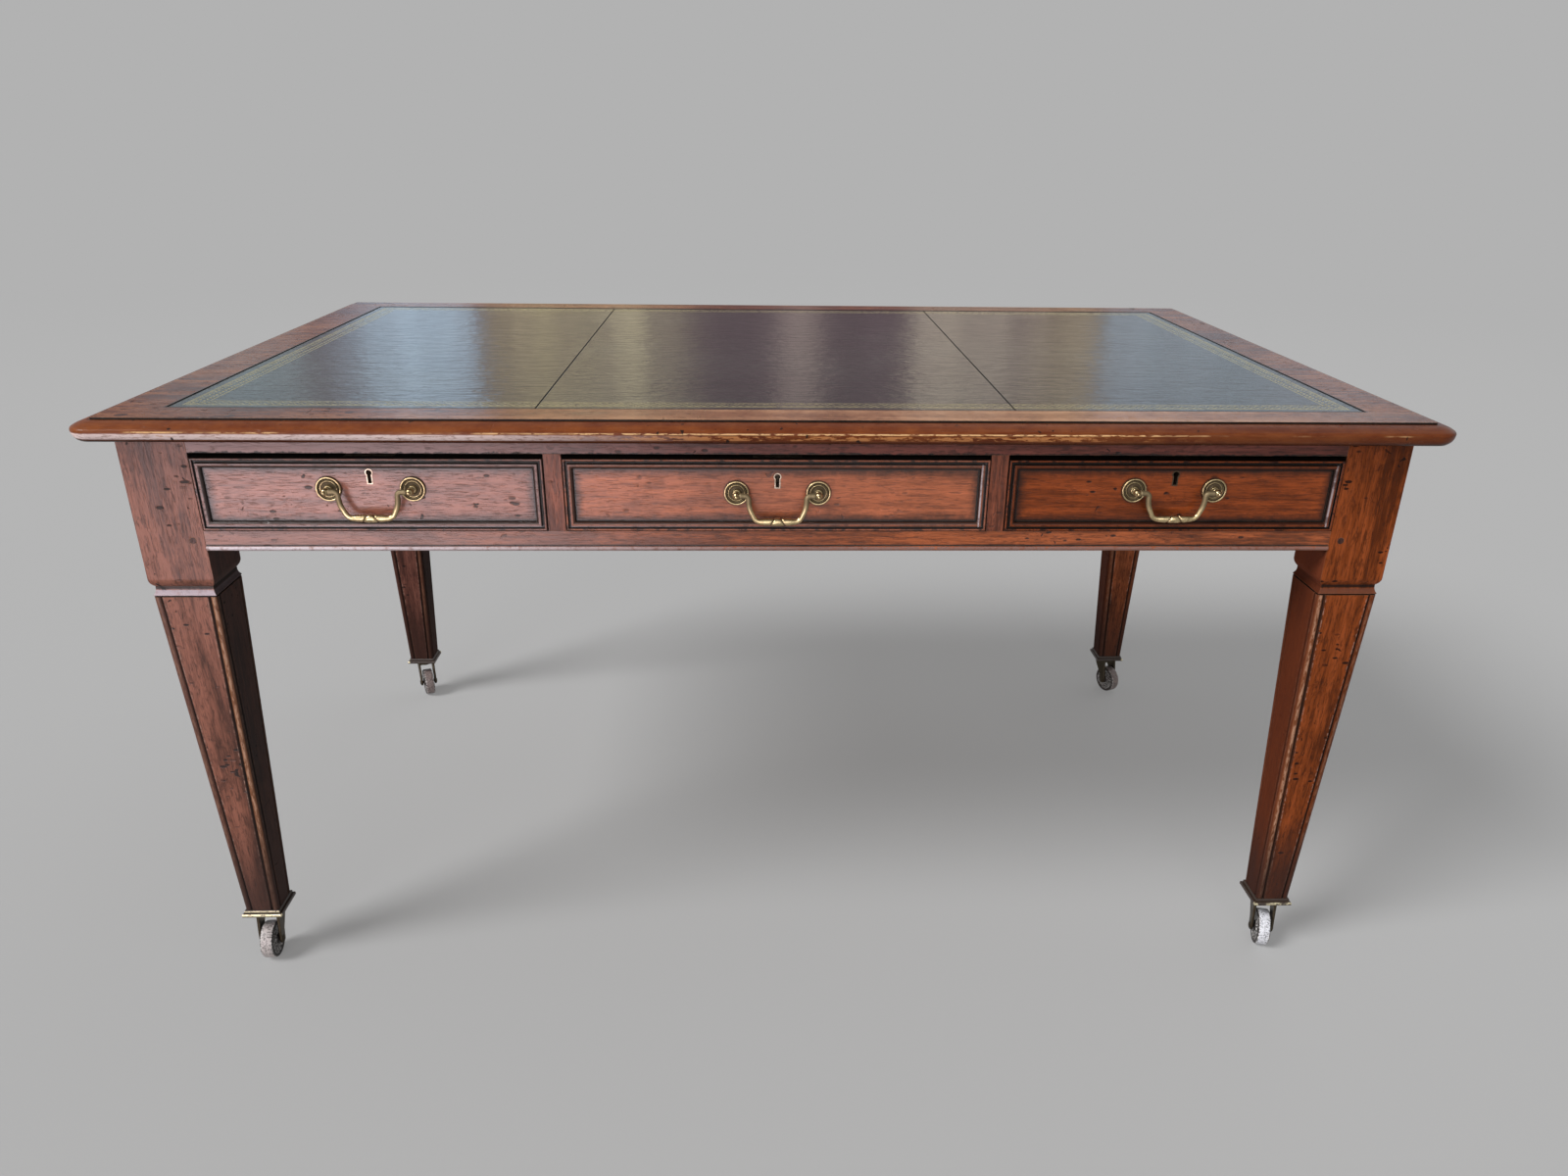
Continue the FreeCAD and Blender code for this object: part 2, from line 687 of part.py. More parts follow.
def head_corners():
    """Side view of the leg head: block with an ovolo under it, neck, hollow, lip and quirk."""
    half, neck, lip = S.leg_block / 2, S.neck_size / 2, S.collar_size / 2
    quirk = S.collar_quirk_size / 2
    ovolo = easy_radius(S.block_ovolo_height, half - neck)
    hollow = easy_radius(S.cavetto_height, lip - neck)
    ovolo_top = BLOCK_BOTTOM + S.block_ovolo_height
    return [
        (-half, UNDERSIDE), (-half, ovolo_top, ovolo, LEFT_TURN), (-neck, BLOCK_BOTTOM),
        (-neck, CAVETTO_TOP, hollow, RIGHT_TURN), (-lip, COLLAR_TOP), (-lip, COLLAR_BOTTOM),
        (-quirk, COLLAR_BOTTOM), (-quirk, TAPER_START), (quirk, TAPER_START), (quirk, COLLAR_BOTTOM),
        (lip, COLLAR_BOTTOM), (lip, COLLAR_TOP, hollow, RIGHT_TURN), (neck, CAVETTO_TOP),
        (neck, BLOCK_BOTTOM, ovolo, LEFT_TURN), (half, ovolo_top), (half, UNDERSIDE),
    ]


def build_leg_pattern():
    """A leg about its own axis: moulded square head and tapered shaft with beaded corners."""
    views = []
    for name, plane in (("front", "XZ_Plane"), ("side", "YZ_Plane")):
        view = new_body(f"leg_head_{name}")
        sketch = outline(sketch_in(view, "outline", plane, -S.leg_block / 2), head_corners())
        padded(view, "pad", sketch, S.leg_block)
        views.append(view)
    head = document.addObject("Part::MultiCommon", "leg_head")
    head.Shapes = views
    shaft = new_body("leg_shaft")
    head_outline = sketch_in(shaft, "head_outline", "XY_Plane", TAPER_START)
    beaded_square(head_outline, S.taper_top)
    foot_outline = sketch_in(shaft, "foot_outline", "XY_Plane", PLATE_TOP)
    beaded_square(foot_outline, S.taper_bottom)
    loft = shaft.newObject("PartDesign::AdditiveLoft", "leg_shaft_taper")
    loft.Profile = head_outline
    loft.Sections = [foot_outline]
    loft.Ruled = True
    return fused("leg_pattern", [head, shaft])


def build_legs(pattern, joinery):
    """The four legs, each with the sockets, mortises and peg holes of the pieces that enter it."""
    for side_y, sign_y in SIDES_Y.items():
        for side_x, sign_x in SIDES_X.items():
            name = f"{side_y}_{side_x}_leg"
            blank = copy_of(f"{name}_blank", pattern, sign_x * LEG_X, sign_y * LEG_Y)
            entering = joinery[side_y] + joinery[side_x] + joinery["all"]
            node(name, without(f"{name}_cut", blank, entering))


# ---------------------------------------------------------------- rails, aprons and dividers

def build_dividers():
    """Uprights between the drawers, stub-tenoned into both rails."""
    uprights = []
    for side_y, sign_y in SIDES_Y.items():
        for side_x, sign_x in SIDES_X.items():
            name = f"{side_y}_{side_x}_divider"
            low_y = -FRAME_Y if sign_y < 0 else FRAME_Y - S.rail_depth
            middle = sign_x * DIVIDER_X
            face = board(
                f"{name}_face", (middle - S.divider_width / 2, low_y, OPENING_FLOOR),
                (S.divider_width, S.rail_depth, S.opening_height),
            )
            stub = board(
                f"{name}_stub",
                (middle - S.divider_stub_width / 2, low_y + S.rail_tenon_setback,
                 OPENING_FLOOR - S.divider_stub_low),
                (S.divider_stub_width, S.rail_depth - 2 * S.rail_tenon_setback,
                 S.opening_height + S.divider_stub_low + S.divider_stub_high),
            )
            uprights.append(fused(name, [face, stub]))
    return node("drawer_dividers", group("divider_set", uprights))


def build_rails(dividers, pegs):
    """Top and bottom rails of each long side, with their joints into the legs."""
    made = {}
    for side_y, sign_y in SIDES_Y.items():
        low_y = -FRAME_Y if sign_y < 0 else FRAME_Y - S.rail_depth
        face_y = sign_y * FRAME_Y
        bar = board(
            f"{side_y}_bottom_bar", (-BETWEEN_LEGS_X, low_y, FRAME_BOTTOM),
            (2 * BETWEEN_LEGS_X, S.rail_depth, S.bottom_rail_height),
        )
        tenon_y = face_y - sign_y * (S.rail_tenon_setback + S.rail_tenon_width / 2)
        tenons = board(
            f"{side_y}_bottom_tenons",
            (-BETWEEN_LEGS_X - S.rail_tenon_length, tenon_y - S.rail_tenon_width / 2,
             FRAME_BOTTOM + (S.bottom_rail_height - S.rail_tenon_height) / 2),
            (2 * (BETWEEN_LEGS_X + S.rail_tenon_length), S.rail_tenon_width, S.rail_tenon_height),
        )
        bead = rod(
            f"{side_y}_bottom_bead", S.bead_radius, 2 * BETWEEN_LEGS_X,
            (-BETWEEN_LEGS_X, face_y - sign_y * (S.bead_radius - S.bead_proud),
             FRAME_BOTTOM + S.bead_radius + S.bead_lift), "x",
        )
        bottom = without(
            f"{side_y}_bottom_cut", fused(f"{side_y}_bottom_whole", [bar, tenons, bead]),
            [dividers, pegs],
        )
        node(f"{side_y}_bottom_rail", bottom)
        top_bar = board(
            f"{side_y}_top_bar", (-BETWEEN_LEGS_X, low_y, OPENING_TOP),
            (2 * BETWEEN_LEGS_X, S.rail_depth, S.top_rail_height),
        )
        tails = []
        for side_x, sign_x in SIDES_X.items():
            tails.append(tail(
                f"{side_y}_top_tail_{side_x}", S.dovetail_narrow, S.dovetail_wide, S.top_rail_height,
                S.dovetail_length, (sign_x * BETWEEN_LEGS_X, sign_y * LEG_Y, OPENING_TOP),
                Rotation(Vector(0, 0, 1), -90 * sign_x),
            ))
        top = without(
            f"{side_y}_top_cut", fused(f"{side_y}_top_whole", [top_bar] + tails), [dividers]
        )
        node(f"{side_y}_top_rail", top)
        made[side_y] = [bottom, top]
    return made


def build_bearer():
    """The lengthwise board between the two banks of drawers, let into both aprons."""
    reach = APRON_INNER_X + S.bearer_housing
    bearer = board(
        "bearer_board", (-reach, -S.bearer_thickness / 2, FRAME_BOTTOM + S.bead_radius),
        (2 * reach, S.bearer_thickness, APRON_HEIGHT - S.bead_radius),
    )
    return node("centre_bearer", bearer)


def build_aprons(bearer, pegs):
    """The end boards, tenoned into the legs."""
    made = {}
    for side_x, sign_x in SIDES_X.items():
        low_x = -FRAME_X if sign_x < 0 else FRAME_X - S.apron_thickness
        middle_x = low_x + S.apron_thickness / 2
        panel = board(
            f"{side_x}_apron_panel", (low_x, -BETWEEN_LEGS_Y, FRAME_BOTTOM),
            (S.apron_thickness, 2 * BETWEEN_LEGS_Y, APRON_HEIGHT),
        )
        tenons = board(
            f"{side_x}_apron_tenons",
            (middle_x - S.apron_tenon_thickness / 2, -BETWEEN_LEGS_Y - S.apron_tenon_length,
             UNDERSIDE - S.apron_tenon_drop - S.apron_tenon_height),
            (S.apron_tenon_thickness, 2 * (BETWEEN_LEGS_Y + S.apron_tenon_length),
             S.apron_tenon_height),
        )
        bead = rod(
            f"{side_x}_apron_bead", S.bead_radius, 2 * BETWEEN_LEGS_Y,
            (sign_x * (FRAME_X - S.bead_radius + S.bead_proud), -BETWEEN_LEGS_Y,
             FRAME_BOTTOM + S.bead_radius + S.bead_lift), "y",
        )
        apron = without(
            f"{side_x}_apron_cut", fused(f"{side_x}_apron_whole", [panel, tenons, bead]),
            [bearer, pegs],
        )
        node(f"{side_x}_apron", apron)
        made[side_x] = [apron]
    return made


def build_pegs():
    """Draw-bore pegs, flush with the legs, through the rail tenons and the apron tenons."""
    pegs = []
    for side_y, sign_y in SIDES_Y.items():
        for side_x, sign_x in SIDES_X.items():
            corner = f"{side_y}_{side_x}"
            start_y = -FRAME_Y if sign_y < 0 else FRAME_Y - S.peg_length
            pegs.append(rod(
                f"{corner}_rail_peg", S.peg_radius, S.peg_length,
                (sign_x * (BETWEEN_LEGS_X + S.peg_inset), start_y,
                 FRAME_BOTTOM + S.bottom_rail_height / 2), "y",
            ))
            start_x = -FRAME_X if sign_x < 0 else FRAME_X - S.apron_thickness
            pegs.append(rod(
                f"{corner}_apron_peg", S.peg_radius, S.apron_thickness,
                (start_x, sign_y * (BETWEEN_LEGS_Y + S.peg_inset),
                 UNDERSIDE - S.apron_tenon_drop - S.apron_tenon_height / 2), "x",
            ))
    return node("tenon_pegs", group("peg_set", pegs))


# ---------------------------------------------------------------- inside the frame

def inner_strips():
    """X spans of the strips that serve the drawers: (name, start, end, guide start, guide end)."""
    end_inner = BETWEEN_LEGS_X - S.runner_shelf
    middle_half = S.divider_width / 2 + S.runner_shelf
    half = S.divider_width / 2
    return [
        ("left_end", -APRON_INNER_X, -end_inner, -APRON_INNER_X, -BETWEEN_LEGS_X),
        ("left_middle", -DIVIDER_X - middle_half, -DIVIDER_X + middle_half,
         -DIVIDER_X - half, -DIVIDER_X + half),
        ("right_middle", DIVIDER_X - middle_half, DIVIDER_X + middle_half,
         DIVIDER_X - half, DIVIDER_X + half),
        ("right_end", end_inner, APRON_INNER_X, BETWEEN_LEGS_X, APRON_INNER_X),
    ]


def build_inner_frame():
    """Runners under the drawers, guides beside them and kickers over them."""
    run = BETWEEN_LEGS_Y - S.bearer_thickness / 2
    runners, guides, kickers = [], [], []
    for side_y, sign_y in SIDES_Y.items():
        low_y = -BETWEEN_LEGS_Y if sign_y < 0 else S.bearer_thickness / 2
        for name, start, end, guide_start, guide_end in inner_strips():
            runners.append(board(
                f"{side_y}_{name}_runner", (start, low_y, OPENING_FLOOR - S.runner_thickness),
                (end - start, run, S.runner_thickness),
            ))
            guides.append(board(
                f"{side_y}_{name}_guide", (guide_start, low_y, OPENING_FLOOR),
                (guide_end - guide_start, run, S.guide_height),
            ))
            kickers.append(board(
                f"{side_y}_{name}_kicker", (start, low_y, OPENING_TOP),
                (end - start, run, S.top_rail_height),
            ))
    node("drawer_runners", group("runner_set", runners))
    node("drawer_guides", group("guide_set", guides))
    return kickers


def build_stops():
    """Blocks on the bottom rails that the shut drawer fronts meet."""
    stops = []
    for side_y, sign_y in SIDES_Y.items():
        near_y = FRAME_Y - S.front_setback - S.front_thickness - S.stop_gap
        low_y = -near_y if sign_y < 0 else near_y - S.stop_width
        for column, middle in (("left", -SIDE_COLUMN_X), ("centre", as_size(0)), ("right", SIDE_COLUMN_X)):
            for side_x, sign_x in SIDES_X.items():
                stops.append(board(
                    f"{side_y}_{column}_{side_x}_stop",
                    (middle + sign_x * S.stop_spread - S.stop_length / 2, low_y, OPENING_FLOOR),
                    (S.stop_length, S.stop_width, S.stop_height),
                ))
    node("drawer_stops", group("stop_set", stops))


def build_screws():
    """Countersunk screws up through the kickers into the top."""
    screws = []
    for side_y, sign_y in SIDES_Y.items():
        for name, start, end, _, _ in inner_strips():
            middle = ((start + end) / 2, sign_y * (FRAME_Y - S.screw_inset))
            shank = rod(
                f"{side_y}_{name}_shank", S.screw_radius, S.screw_length, (*middle, OPENING_TOP), "z"
            )
            head = cone(
                f"{side_y}_{name}_head", S.screw_head_radius, S.screw_radius, S.screw_head_height,
                (*middle, OPENING_TOP), "z",
            )
            screws.append(fused(f"{side_y}_{name}_screw", [shank, head]))
    return node("top_fixing_screws", group("screw_set", screws))


# ---------------------------------------------------------------- drawers, built about X = 0 on the near side

def keyhole_shape(name, width_cut, start_y, depth, head_z):
    """Round head over a straight foot, smaller by width_cut all round, running along +Y."""
    radius = S.escutcheon_head_radius - width_cut
    foot = S.escutcheon_foot_width - 2 * width_cut
    length = S.escutcheon_height - S.escutcheon_head_radius - width_cut
    head = rod(f"{name}_head", radius, depth, (0, start_y, head_z), "y")
    slot = board(f"{name}_slot", (-foot / 2, start_y, head_z - length), (foot, depth, length))
    return fused(name, [head, slot])


def frame_ring(body, name, start, width, height, outline):
    """A rectangular ring on the panel of a drawer front, start in from its edges."""
    low_x, low_z, high_x, high_z = outline
    sketch = sketch_in(body, f"{name}_outline", "XZ_Plane", -PANEL_Y)
    for inset in (start, start + width):
        rectangle(sketch, low_x + inset, low_z + inset, high_x - inset, high_z - inset)
    return padded(body, name, sketch, height)


def build_front_blank(name, opening):
    """The board of a drawer front with its edge bead and ovolo."""
    half = opening / 2 - S.front_side_gap
    outline = (-half, FRONT_BOTTOM, half, FRONT_TOP)
    plain = board(
        f"{name}_board", (-half, PANEL_Y, FRONT_BOTTOM),
        (2 * half, S.front_thickness, FRONT_TOP - FRONT_BOTTOM),
    )
    bead = new_body(f"{name}_bead")
    bead_ring = frame_ring(bead, "ring", as_size(0), S.edge_bead_width, S.edge_bead_proud, outline)
    bead_crest = PANEL_Y - S.edge_bead_proud
    rounded(
        bead, "round", bead_ring, S.edge_bead_radius,
        lambda low, high: near(low.y, bead_crest) and near(high.y, bead_crest),
    )
    ovolo = new_body(f"{name}_ovolo")
    ovolo_ring = frame_ring(ovolo, "ring", S.ovolo_start, S.ovolo_width, S.ovolo_proud, outline)
    ovolo_crest = PANEL_Y - S.ovolo_proud
    inner = S.ovolo_start + S.ovolo_width
    outer_half = half - S.ovolo_start
    inner_half = half - inner

    def on_crest(low, high):
        return near(low.y, ovolo_crest) and near(high.y, ovolo_crest)

    def is_inner(low, high):
        inside_x = high.x < inner_half.value + TOLERANCE and low.x > -inner_half.value - TOLERANCE
        inside_z = low.z > (FRONT_BOTTOM + inner).value - TOLERANCE
        inside_z = inside_z and high.z < (FRONT_TOP - inner).value + TOLERANCE
        return on_crest(low, high) and inside_x and inside_z

    def is_outer(low, high):
        on_x = near(high.x, outer_half) or near(low.x, -outer_half)
        on_z = near(low.z, FRONT_BOTTOM + S.ovolo_start) or near(high.z, FRONT_TOP - S.ovolo_start)
        return on_crest(low, high) and (on_x or on_z)

    ovolo_round = rounded(ovolo, "round", ovolo_ring, S.ovolo_radius, is_inner)
    rounded(ovolo, "back", ovolo_round, S.ovolo_back_radius, is_outer)
    return fused(f"{name}_blank", [plain, bead, ovolo])


def tail_heights(bottom, top, count):
    """Evenly spaced middles between two levels."""
    return [bottom + (top - bottom) * (2 * index + 1) / (2 * count) for index in range(count)]


FRONT_TAILS = 3
BACK_TAILS = 2


def build_side(name, sign_x, half, bottom_board):
    """A drawer side with lapped dovetails at the front, through dovetails at the back and a groove."""
    low_x = -half if sign_x < 0 else half - S.side_thickness
    back_start = DRAWER_END_Y - S.back_thickness
    side_top = SIDE_BOTTOM + S.side_height
    pieces = [
        board(
            f"{name}_board", (low_x, FRONT_BACK_Y, SIDE_BOTTOM),
            (S.side_thickness, back_start - FRONT_BACK_Y, S.side_height),
        ),
        board(
            f"{name}_heel", (low_x, back_start, SIDE_BOTTOM),
            (S.side_thickness, S.back_thickness, S.bottom_rise + S.bottom_thickness),
        ),
    ]
    # local x (the spread of the tail) points up, local z (its thickness) points along the desk's X
    towards_front = Rotation(FreeCAD.Matrix(0, 0, 1, 0, 0, -1, 0, 0, 1, 0, 0, 0, 0, 0, 0, 1))
    towards_back = Rotation(FreeCAD.Matrix(0, 0, 1, 0, 0, 1, 0, 0, -1, 0, 0, 0, 0, 0, 0, 1))
    for index, level in enumerate(tail_heights(SIDE_BOTTOM, side_top, FRONT_TAILS)):
        pieces.append(tail(
            f"{name}_front_tail_{index}", S.tail_narrow, S.tail_wide, S.side_thickness,
            S.front_tail_length, (low_x, FRONT_BACK_Y, level), towards_front,
        ))
    for index, level in enumerate(tail_heights(BOTTOM_UPPER, BOTTOM_UPPER + S.back_height, BACK_TAILS)):
        pieces.append(tail(
            f"{name}_back_tail_{index}", S.tail_narrow, S.tail_wide, S.side_thickness,
            S.back_thickness, (low_x, back_start, level), towards_back,
        ))
    return without(name, fused(f"{name}_whole", pieces), [bottom_board])


def build_lock(name, head_z, keyhole):
    """Brass lining of the keyhole, and a drawer lock let into the back and top edge of the front."""
    lining = without(
        f"{name}_lining",
        keyhole_shape(
            f"{name}_lining_outside", as_size(0), PANEL_Y - S.escutcheon_proud,
            S.escutcheon_depth + S.escutcheon_proud, head_z,
        ),
        [keyhole],
    )
    back = FRONT_BACK_Y + S.lock_proud
    case = board(
        f"{name}_case", (-S.lock_width / 2, back - S.lock_depth, FRONT_TOP - S.lock_height),
        (S.lock_width, S.lock_depth, S.lock_height),
    )
    selvage = board(
        f"{name}_selvage", (-S.lock_width / 2, back - S.selvage_width, FRONT_TOP - S.selvage_thickness),
        (S.lock_width, S.selvage_width, S.selvage_thickness),
    )
    case_whole = without(f"{name}_case_cut", fused(f"{name}_case_whole", [case, selvage]), [keyhole])
    return group(f"{name}_pair", [lining, case_whole])


def build_rose_pattern():
    """A turned backplate on the panel, about a post along -Y."""
    body = new_body("rose_pattern")
    sketch = sketch_in(body, "section", "YZ_Plane")
    rim_middle = (S.rose_radius + S.rose_rim_inner) / 2
    polygon(sketch, [
        (0, S.post_radius), (0, S.rose_radius), (-S.rose_thickness, S.rose_radius),
        (-S.rose_rim_height, rim_middle), (-S.rose_thickness, S.rose_rim_inner),
        (-S.rose_thickness, S.rose_boss_radius), (-S.rose_boss_height, S.rose_boss_radius),
        (-S.rose_boss_height, S.post_radius),
    ])
    turned_solid(body, "turning", sketch, "H_Axis")
    return body


def build_post_pattern():
    """The post that carries one end of the bail, from its nut to its bored head."""
    shank_length = S.front_thickness + S.nut_thickness + S.pivot_proud
    shank = rod("post_shank", S.post_radius, shank_length, (0, -S.pivot_proud, 0), "y")
    head = rod(
        "post_head", S.post_head_radius, S.post_head_length,
        (0, -S.pivot_proud - S.post_head_length / 2, 0), "y",
    )
    return fused("post_pattern", [shank, head])


def build_nut_pattern():
    item = document.addObject("Part::Prism", "nut_blank")
    item.Polygon = 6
    bind(item, Circumradius=S.nut_across / 2, Height=S.nut_thickness)
    place(item, 0, S.front_thickness, 0, ALONG["y"])
    return item


PIVOT_X = S.handle_spread / 2


def bail_path_points():
    """Corner points of the bail from its left shoulder to its right one, in X and Z from the pivot."""
    shoulder = PIVOT_X - S.post_head_radius - S.bail_shoulder_gap
    leg = S.bail_leg_spread / 2
    return [(-shoulder, 0), (-leg, 0), (-leg, -S.bail_drop), (leg, -S.bail_drop), (leg, 0), (shoulder, 0)]


def build_bail_pattern():
    """The swinging handle: a bent rod with a swollen grip, and a pin at each end."""
    body = new_body("bail_rod")
    path = sketch_in(body, "path", "XZ_Plane")
    bends = [S.bail_upper_bend, S.bail_lower_bend, S.bail_lower_bend, S.bail_upper_bend]
    bent_line(path, bail_path_points(), bends)
    section = sketch_in(body, "section", "YZ_Plane", bail_path_points()[0][0])
    section.addGeometry(Part.Circle(Vector(), Vector(0, 0, 1), S.bail_radius.value), False)
    section.addConstraint(Sketcher.Constraint("Coincident", 0, CENTRE, ORIGIN, START))
    hold_radius(section, 0, S.bail_radius)
    pipe = body.newObject("PartDesign::AdditivePipe", "bail_rod_pipe")
    pipe.Profile = section
    pipe.Spine = (path, [f"Edge{number}" for number in range(1, path.GeometryCount + 1)])
    grip = new_body("bail_grip")
    profile = sketch_in(grip, "section", "XZ_Plane")
    half, block, slope = S.grip_half_length, S.grip_block_half, S.grip_block_radius - S.grip_radius
    polygon(profile, [
        (-half, -S.bail_drop), (-half, S.bail_radius - S.bail_drop),
        (-half + S.grip_taper, S.grip_radius - S.bail_drop), (-block - slope, S.grip_radius - S.bail_drop),
        (-block, S.grip_block_radius - S.bail_drop), (block, S.grip_block_radius - S.bail_drop),
        (block + slope, S.grip_radius - S.bail_drop), (half - S.grip_taper, S.grip_radius - S.bail_drop),
        (half, S.bail_radius - S.bail_drop), (half, -S.bail_drop),
    ])
    turning = grip.newObject("PartDesign::Revolution", "bail_grip_turning")
    turning.Profile = profile
    turning.ReferenceAxis = (profile, ["Edge10"])
    turning.Angle = 360
    pins = []
    shoulder = PIVOT_X - S.post_head_radius - S.bail_shoulder_gap
    reach = S.bail_pin_length + S.bail_shoulder_gap
    for side_x, start in (("left", -shoulder - reach), ("right", shoulder - HIDDEN_OVERLAP)):
        pins.append(rod(f"bail_pin_{side_x}", S.bail_pin_radius, reach + HIDDEN_OVERLAP, (start, 0, 0), "x"))
    return fused("bail_pattern", [body, grip] + pins)


def bent_line(sketch, points, radii):
    """An open line of level and upright runs, joined by tangent arcs of the given radii."""
    points = [(as_size(x), as_size(y)) for x, y in points]
    values = [Vector(x.value, y.value, 0) for x, y in points]
    starts, ends, arcs = [values[0]], [], []
    for index, radius in enumerate(radii, start=1):
        corner = values[index]
        back = (values[index - 1] - corner).normalize() * radius.value
        ahead = (values[index + 1] - corner).normalize() * radius.value
        middle = corner + back + ahead
        inner = middle + (corner - middle).normalize() * radius.value
        ends.append(corner + back)
        starts.append(corner + ahead)
        arcs.append(Part.Arc(corner + back, inner, corner + ahead))
    ends.append(values[-1])
    previous = None
    for index, (start, end) in enumerate(zip(starts, ends)):
        line = sketch.addGeometry(Part.LineSegment(start, end), False)
        level = near(values[index].y, values[index + 1].y)
        kind = "Horizontal" if level else "Vertical"
        sketch.addConstraint(Sketcher.Constraint(kind, line))
        if level:
            hold(sketch, line, START, y=points[index][1])
        else:
            hold(sketch, line, START, x=points[index][0])
        if previous is not None:
            arc, arc_end = previous
            sketch.addConstraint(Sketcher.Constraint("Tangent", arc, arc_end, line, START))
        if index < len(arcs):
            arc = sketch.addGeometry(arcs[index], False)
            touching = START if (sketch.getPoint(arc, START) - end).Length < TOLERANCE else END
            sketch.addConstraint(Sketcher.Constraint("Tangent", line, END, arc, touching))
            hold_radius(sketch, arc, radii[index])
            previous = (arc, END if touching == START else START)
    hold(sketch, 0, START, x=points[0][0])
    hold(sketch, line, END, x=points[-1][0])


def build_drawer_pattern(name, opening, rise, handle):
    """All the pieces of one drawer, about X = 0 on the near side."""
    rose, post, nut, bail = handle
    half = opening / 2 - S.front_side_gap
    handle_z = FRONT_MIDDLE + rise
    head_z = handle_z + S.keyhole_rise + S.escutcheon_height / 2 - S.escutcheon_head_radius
    bottom = board(
        f"{name}_bottom",
        (-half + S.side_thickness - S.groove_depth, FRONT_BACK_Y - S.groove_depth, BOTTOM_UNDER),
        (2 * (half - S.side_thickness + S.groove_depth), DRAWER_END_Y - FRONT_BACK_Y + S.groove_depth,
         S.bottom_thickness),
    )
    sides = [build_side(f"{name}_side_{side_x}", sign_x, half, bottom) for side_x, sign_x in SIDES_X.items()]
    back_blank = board(
        f"{name}_back_blank", (-half, DRAWER_END_Y - S.back_thickness, BOTTOM_UPPER),
        (2 * half, S.back_thickness, S.back_height),
    )
    back = without(f"{name}_back", back_blank, sides)
    keyhole = keyhole_shape(
        f"{name}_keyhole", S.escutcheon_wall, PANEL_Y - HIDDEN_OVERLAP,
        S.front_thickness + S.lock_proud - S.lock_back_plate + HIDDEN_OVERLAP, head_z,
    )
    lock = build_lock(f"{name}_lock", head_z, keyhole)
    pins = [
        rod(
            f"{name}_bore_{side_x}", S.bail_pin_radius + S.bail_pin_clearance,
            S.post_head_radius + S.bail_pin_length,
            (sign_x * PIVOT_X - (S.post_head_radius if sign_x > 0 else S.bail_pin_length),
             PANEL_Y - S.pivot_proud, handle_z), "x",
        )
        for side_x, sign_x in SIDES_X.items()
    ]
    posts, roses = [], []
    for side_x, sign_x in SIDES_X.items():
        spot = (sign_x * PIVOT_X, PANEL_Y, handle_z)
        roses.append(copy_of(f"{name}_rose_{side_x}", rose, *spot))
        whole_post = copy_of(f"{name}_post_blank_{side_x}", post, *spot)
        posts.append(without(f"{name}_post_{side_x}", whole_post, pins))
        whole_nut = copy_of(f"{name}_nut_blank_{side_x}", nut, *spot)
        roses.append(without(f"{name}_nut_{side_x}", whole_nut, [whole_post]))
    wood = without(
        f"{name}_front", build_front_blank(name, opening), sides + [bottom, keyhole, lock] + posts
    )
    return {
        "front": wood,
        "box": group(f"{name}_box", sides + [back, bottom]),
        "lock": lock,
        "roses": group(f"{name}_roses", roses + posts),
        "bail": copy_of(f"{name}_bail", bail, 0, PANEL_Y - S.pivot_proud, handle_z),
    }


def build_drawers():
    """Six drawers: copies of the side and centre patterns, turned half round for the far side."""
    handle = (build_rose_pattern(), build_post_pattern(), build_nut_pattern(), build_bail_pattern())
    side = build_drawer_pattern("side_pattern", SIDE_OPENING, S.side_column_rise, handle)
    centre = build_drawer_pattern("centre_pattern", S.centre_opening, S.centre_column_rise, handle)
    columns = (("left", side, -SIDE_COLUMN_X), ("centre", centre, as_size(0)), ("right", side, SIDE_COLUMN_X))
    for side_y in SIDES_Y:
        for column, pattern, middle in columns:
            for piece, shape in pattern.items():
                name = f"{side_y}_{column}_drawer_{piece}"
                turn = 0 if side_y == "near" else HALF_TURN
                node(name, copy_of(f"{name}_copy", shape, middle, turn=turn))


# ---------------------------------------------------------------- castors, built about the swivel axis

def build_plate_pattern():
    """Stepped square plate under the foot, with its stem above and its riveted swivel pin below."""
    body = new_body("plate_steps")
    half, step_half = S.plate_size / 2, S.plate_step_size / 2
    lower = body_box(
        body, "lower", (-half, -half, S.plate_underside), (S.plate_size, S.plate_size, S.plate_thickness)
    )
    step_level = S.plate_underside + S.plate_thickness
    lower_round = rounded(
        body, "lower_round", lower, S.plate_edge_radius, lambda low, high: level_at(low, high, step_level)
    )
    upper = body_box(
        body, "upper", (-step_half, -step_half, step_level),
        (S.plate_step_size, S.plate_step_size, S.plate_step_thickness),
    )
    rounded(
        body, "upper_round", upper, S.plate_edge_radius, lambda low, high: level_at(low, high, PLATE_TOP)
    )
    pin_length = 2 * S.swivel_gap + S.crown_thickness
    pin_bottom = S.plate_underside - pin_length
    stem = rod("plate_stem", S.stem_radius, S.stem_length + HIDDEN_OVERLAP,
               (0, 0, PLATE_TOP - HIDDEN_OVERLAP), "z")
    pin = rod("plate_pin", S.pintle_radius, pin_length + HIDDEN_OVERLAP, (0, 0, pin_bottom), "z")
    head = rod("plate_pin_head", S.pintle_head_radius, S.pintle_head_height,
               (0, 0, pin_bottom - S.pintle_head_height), "z")
    return fused("plate_pattern", [body, stem, pin, head]), stem


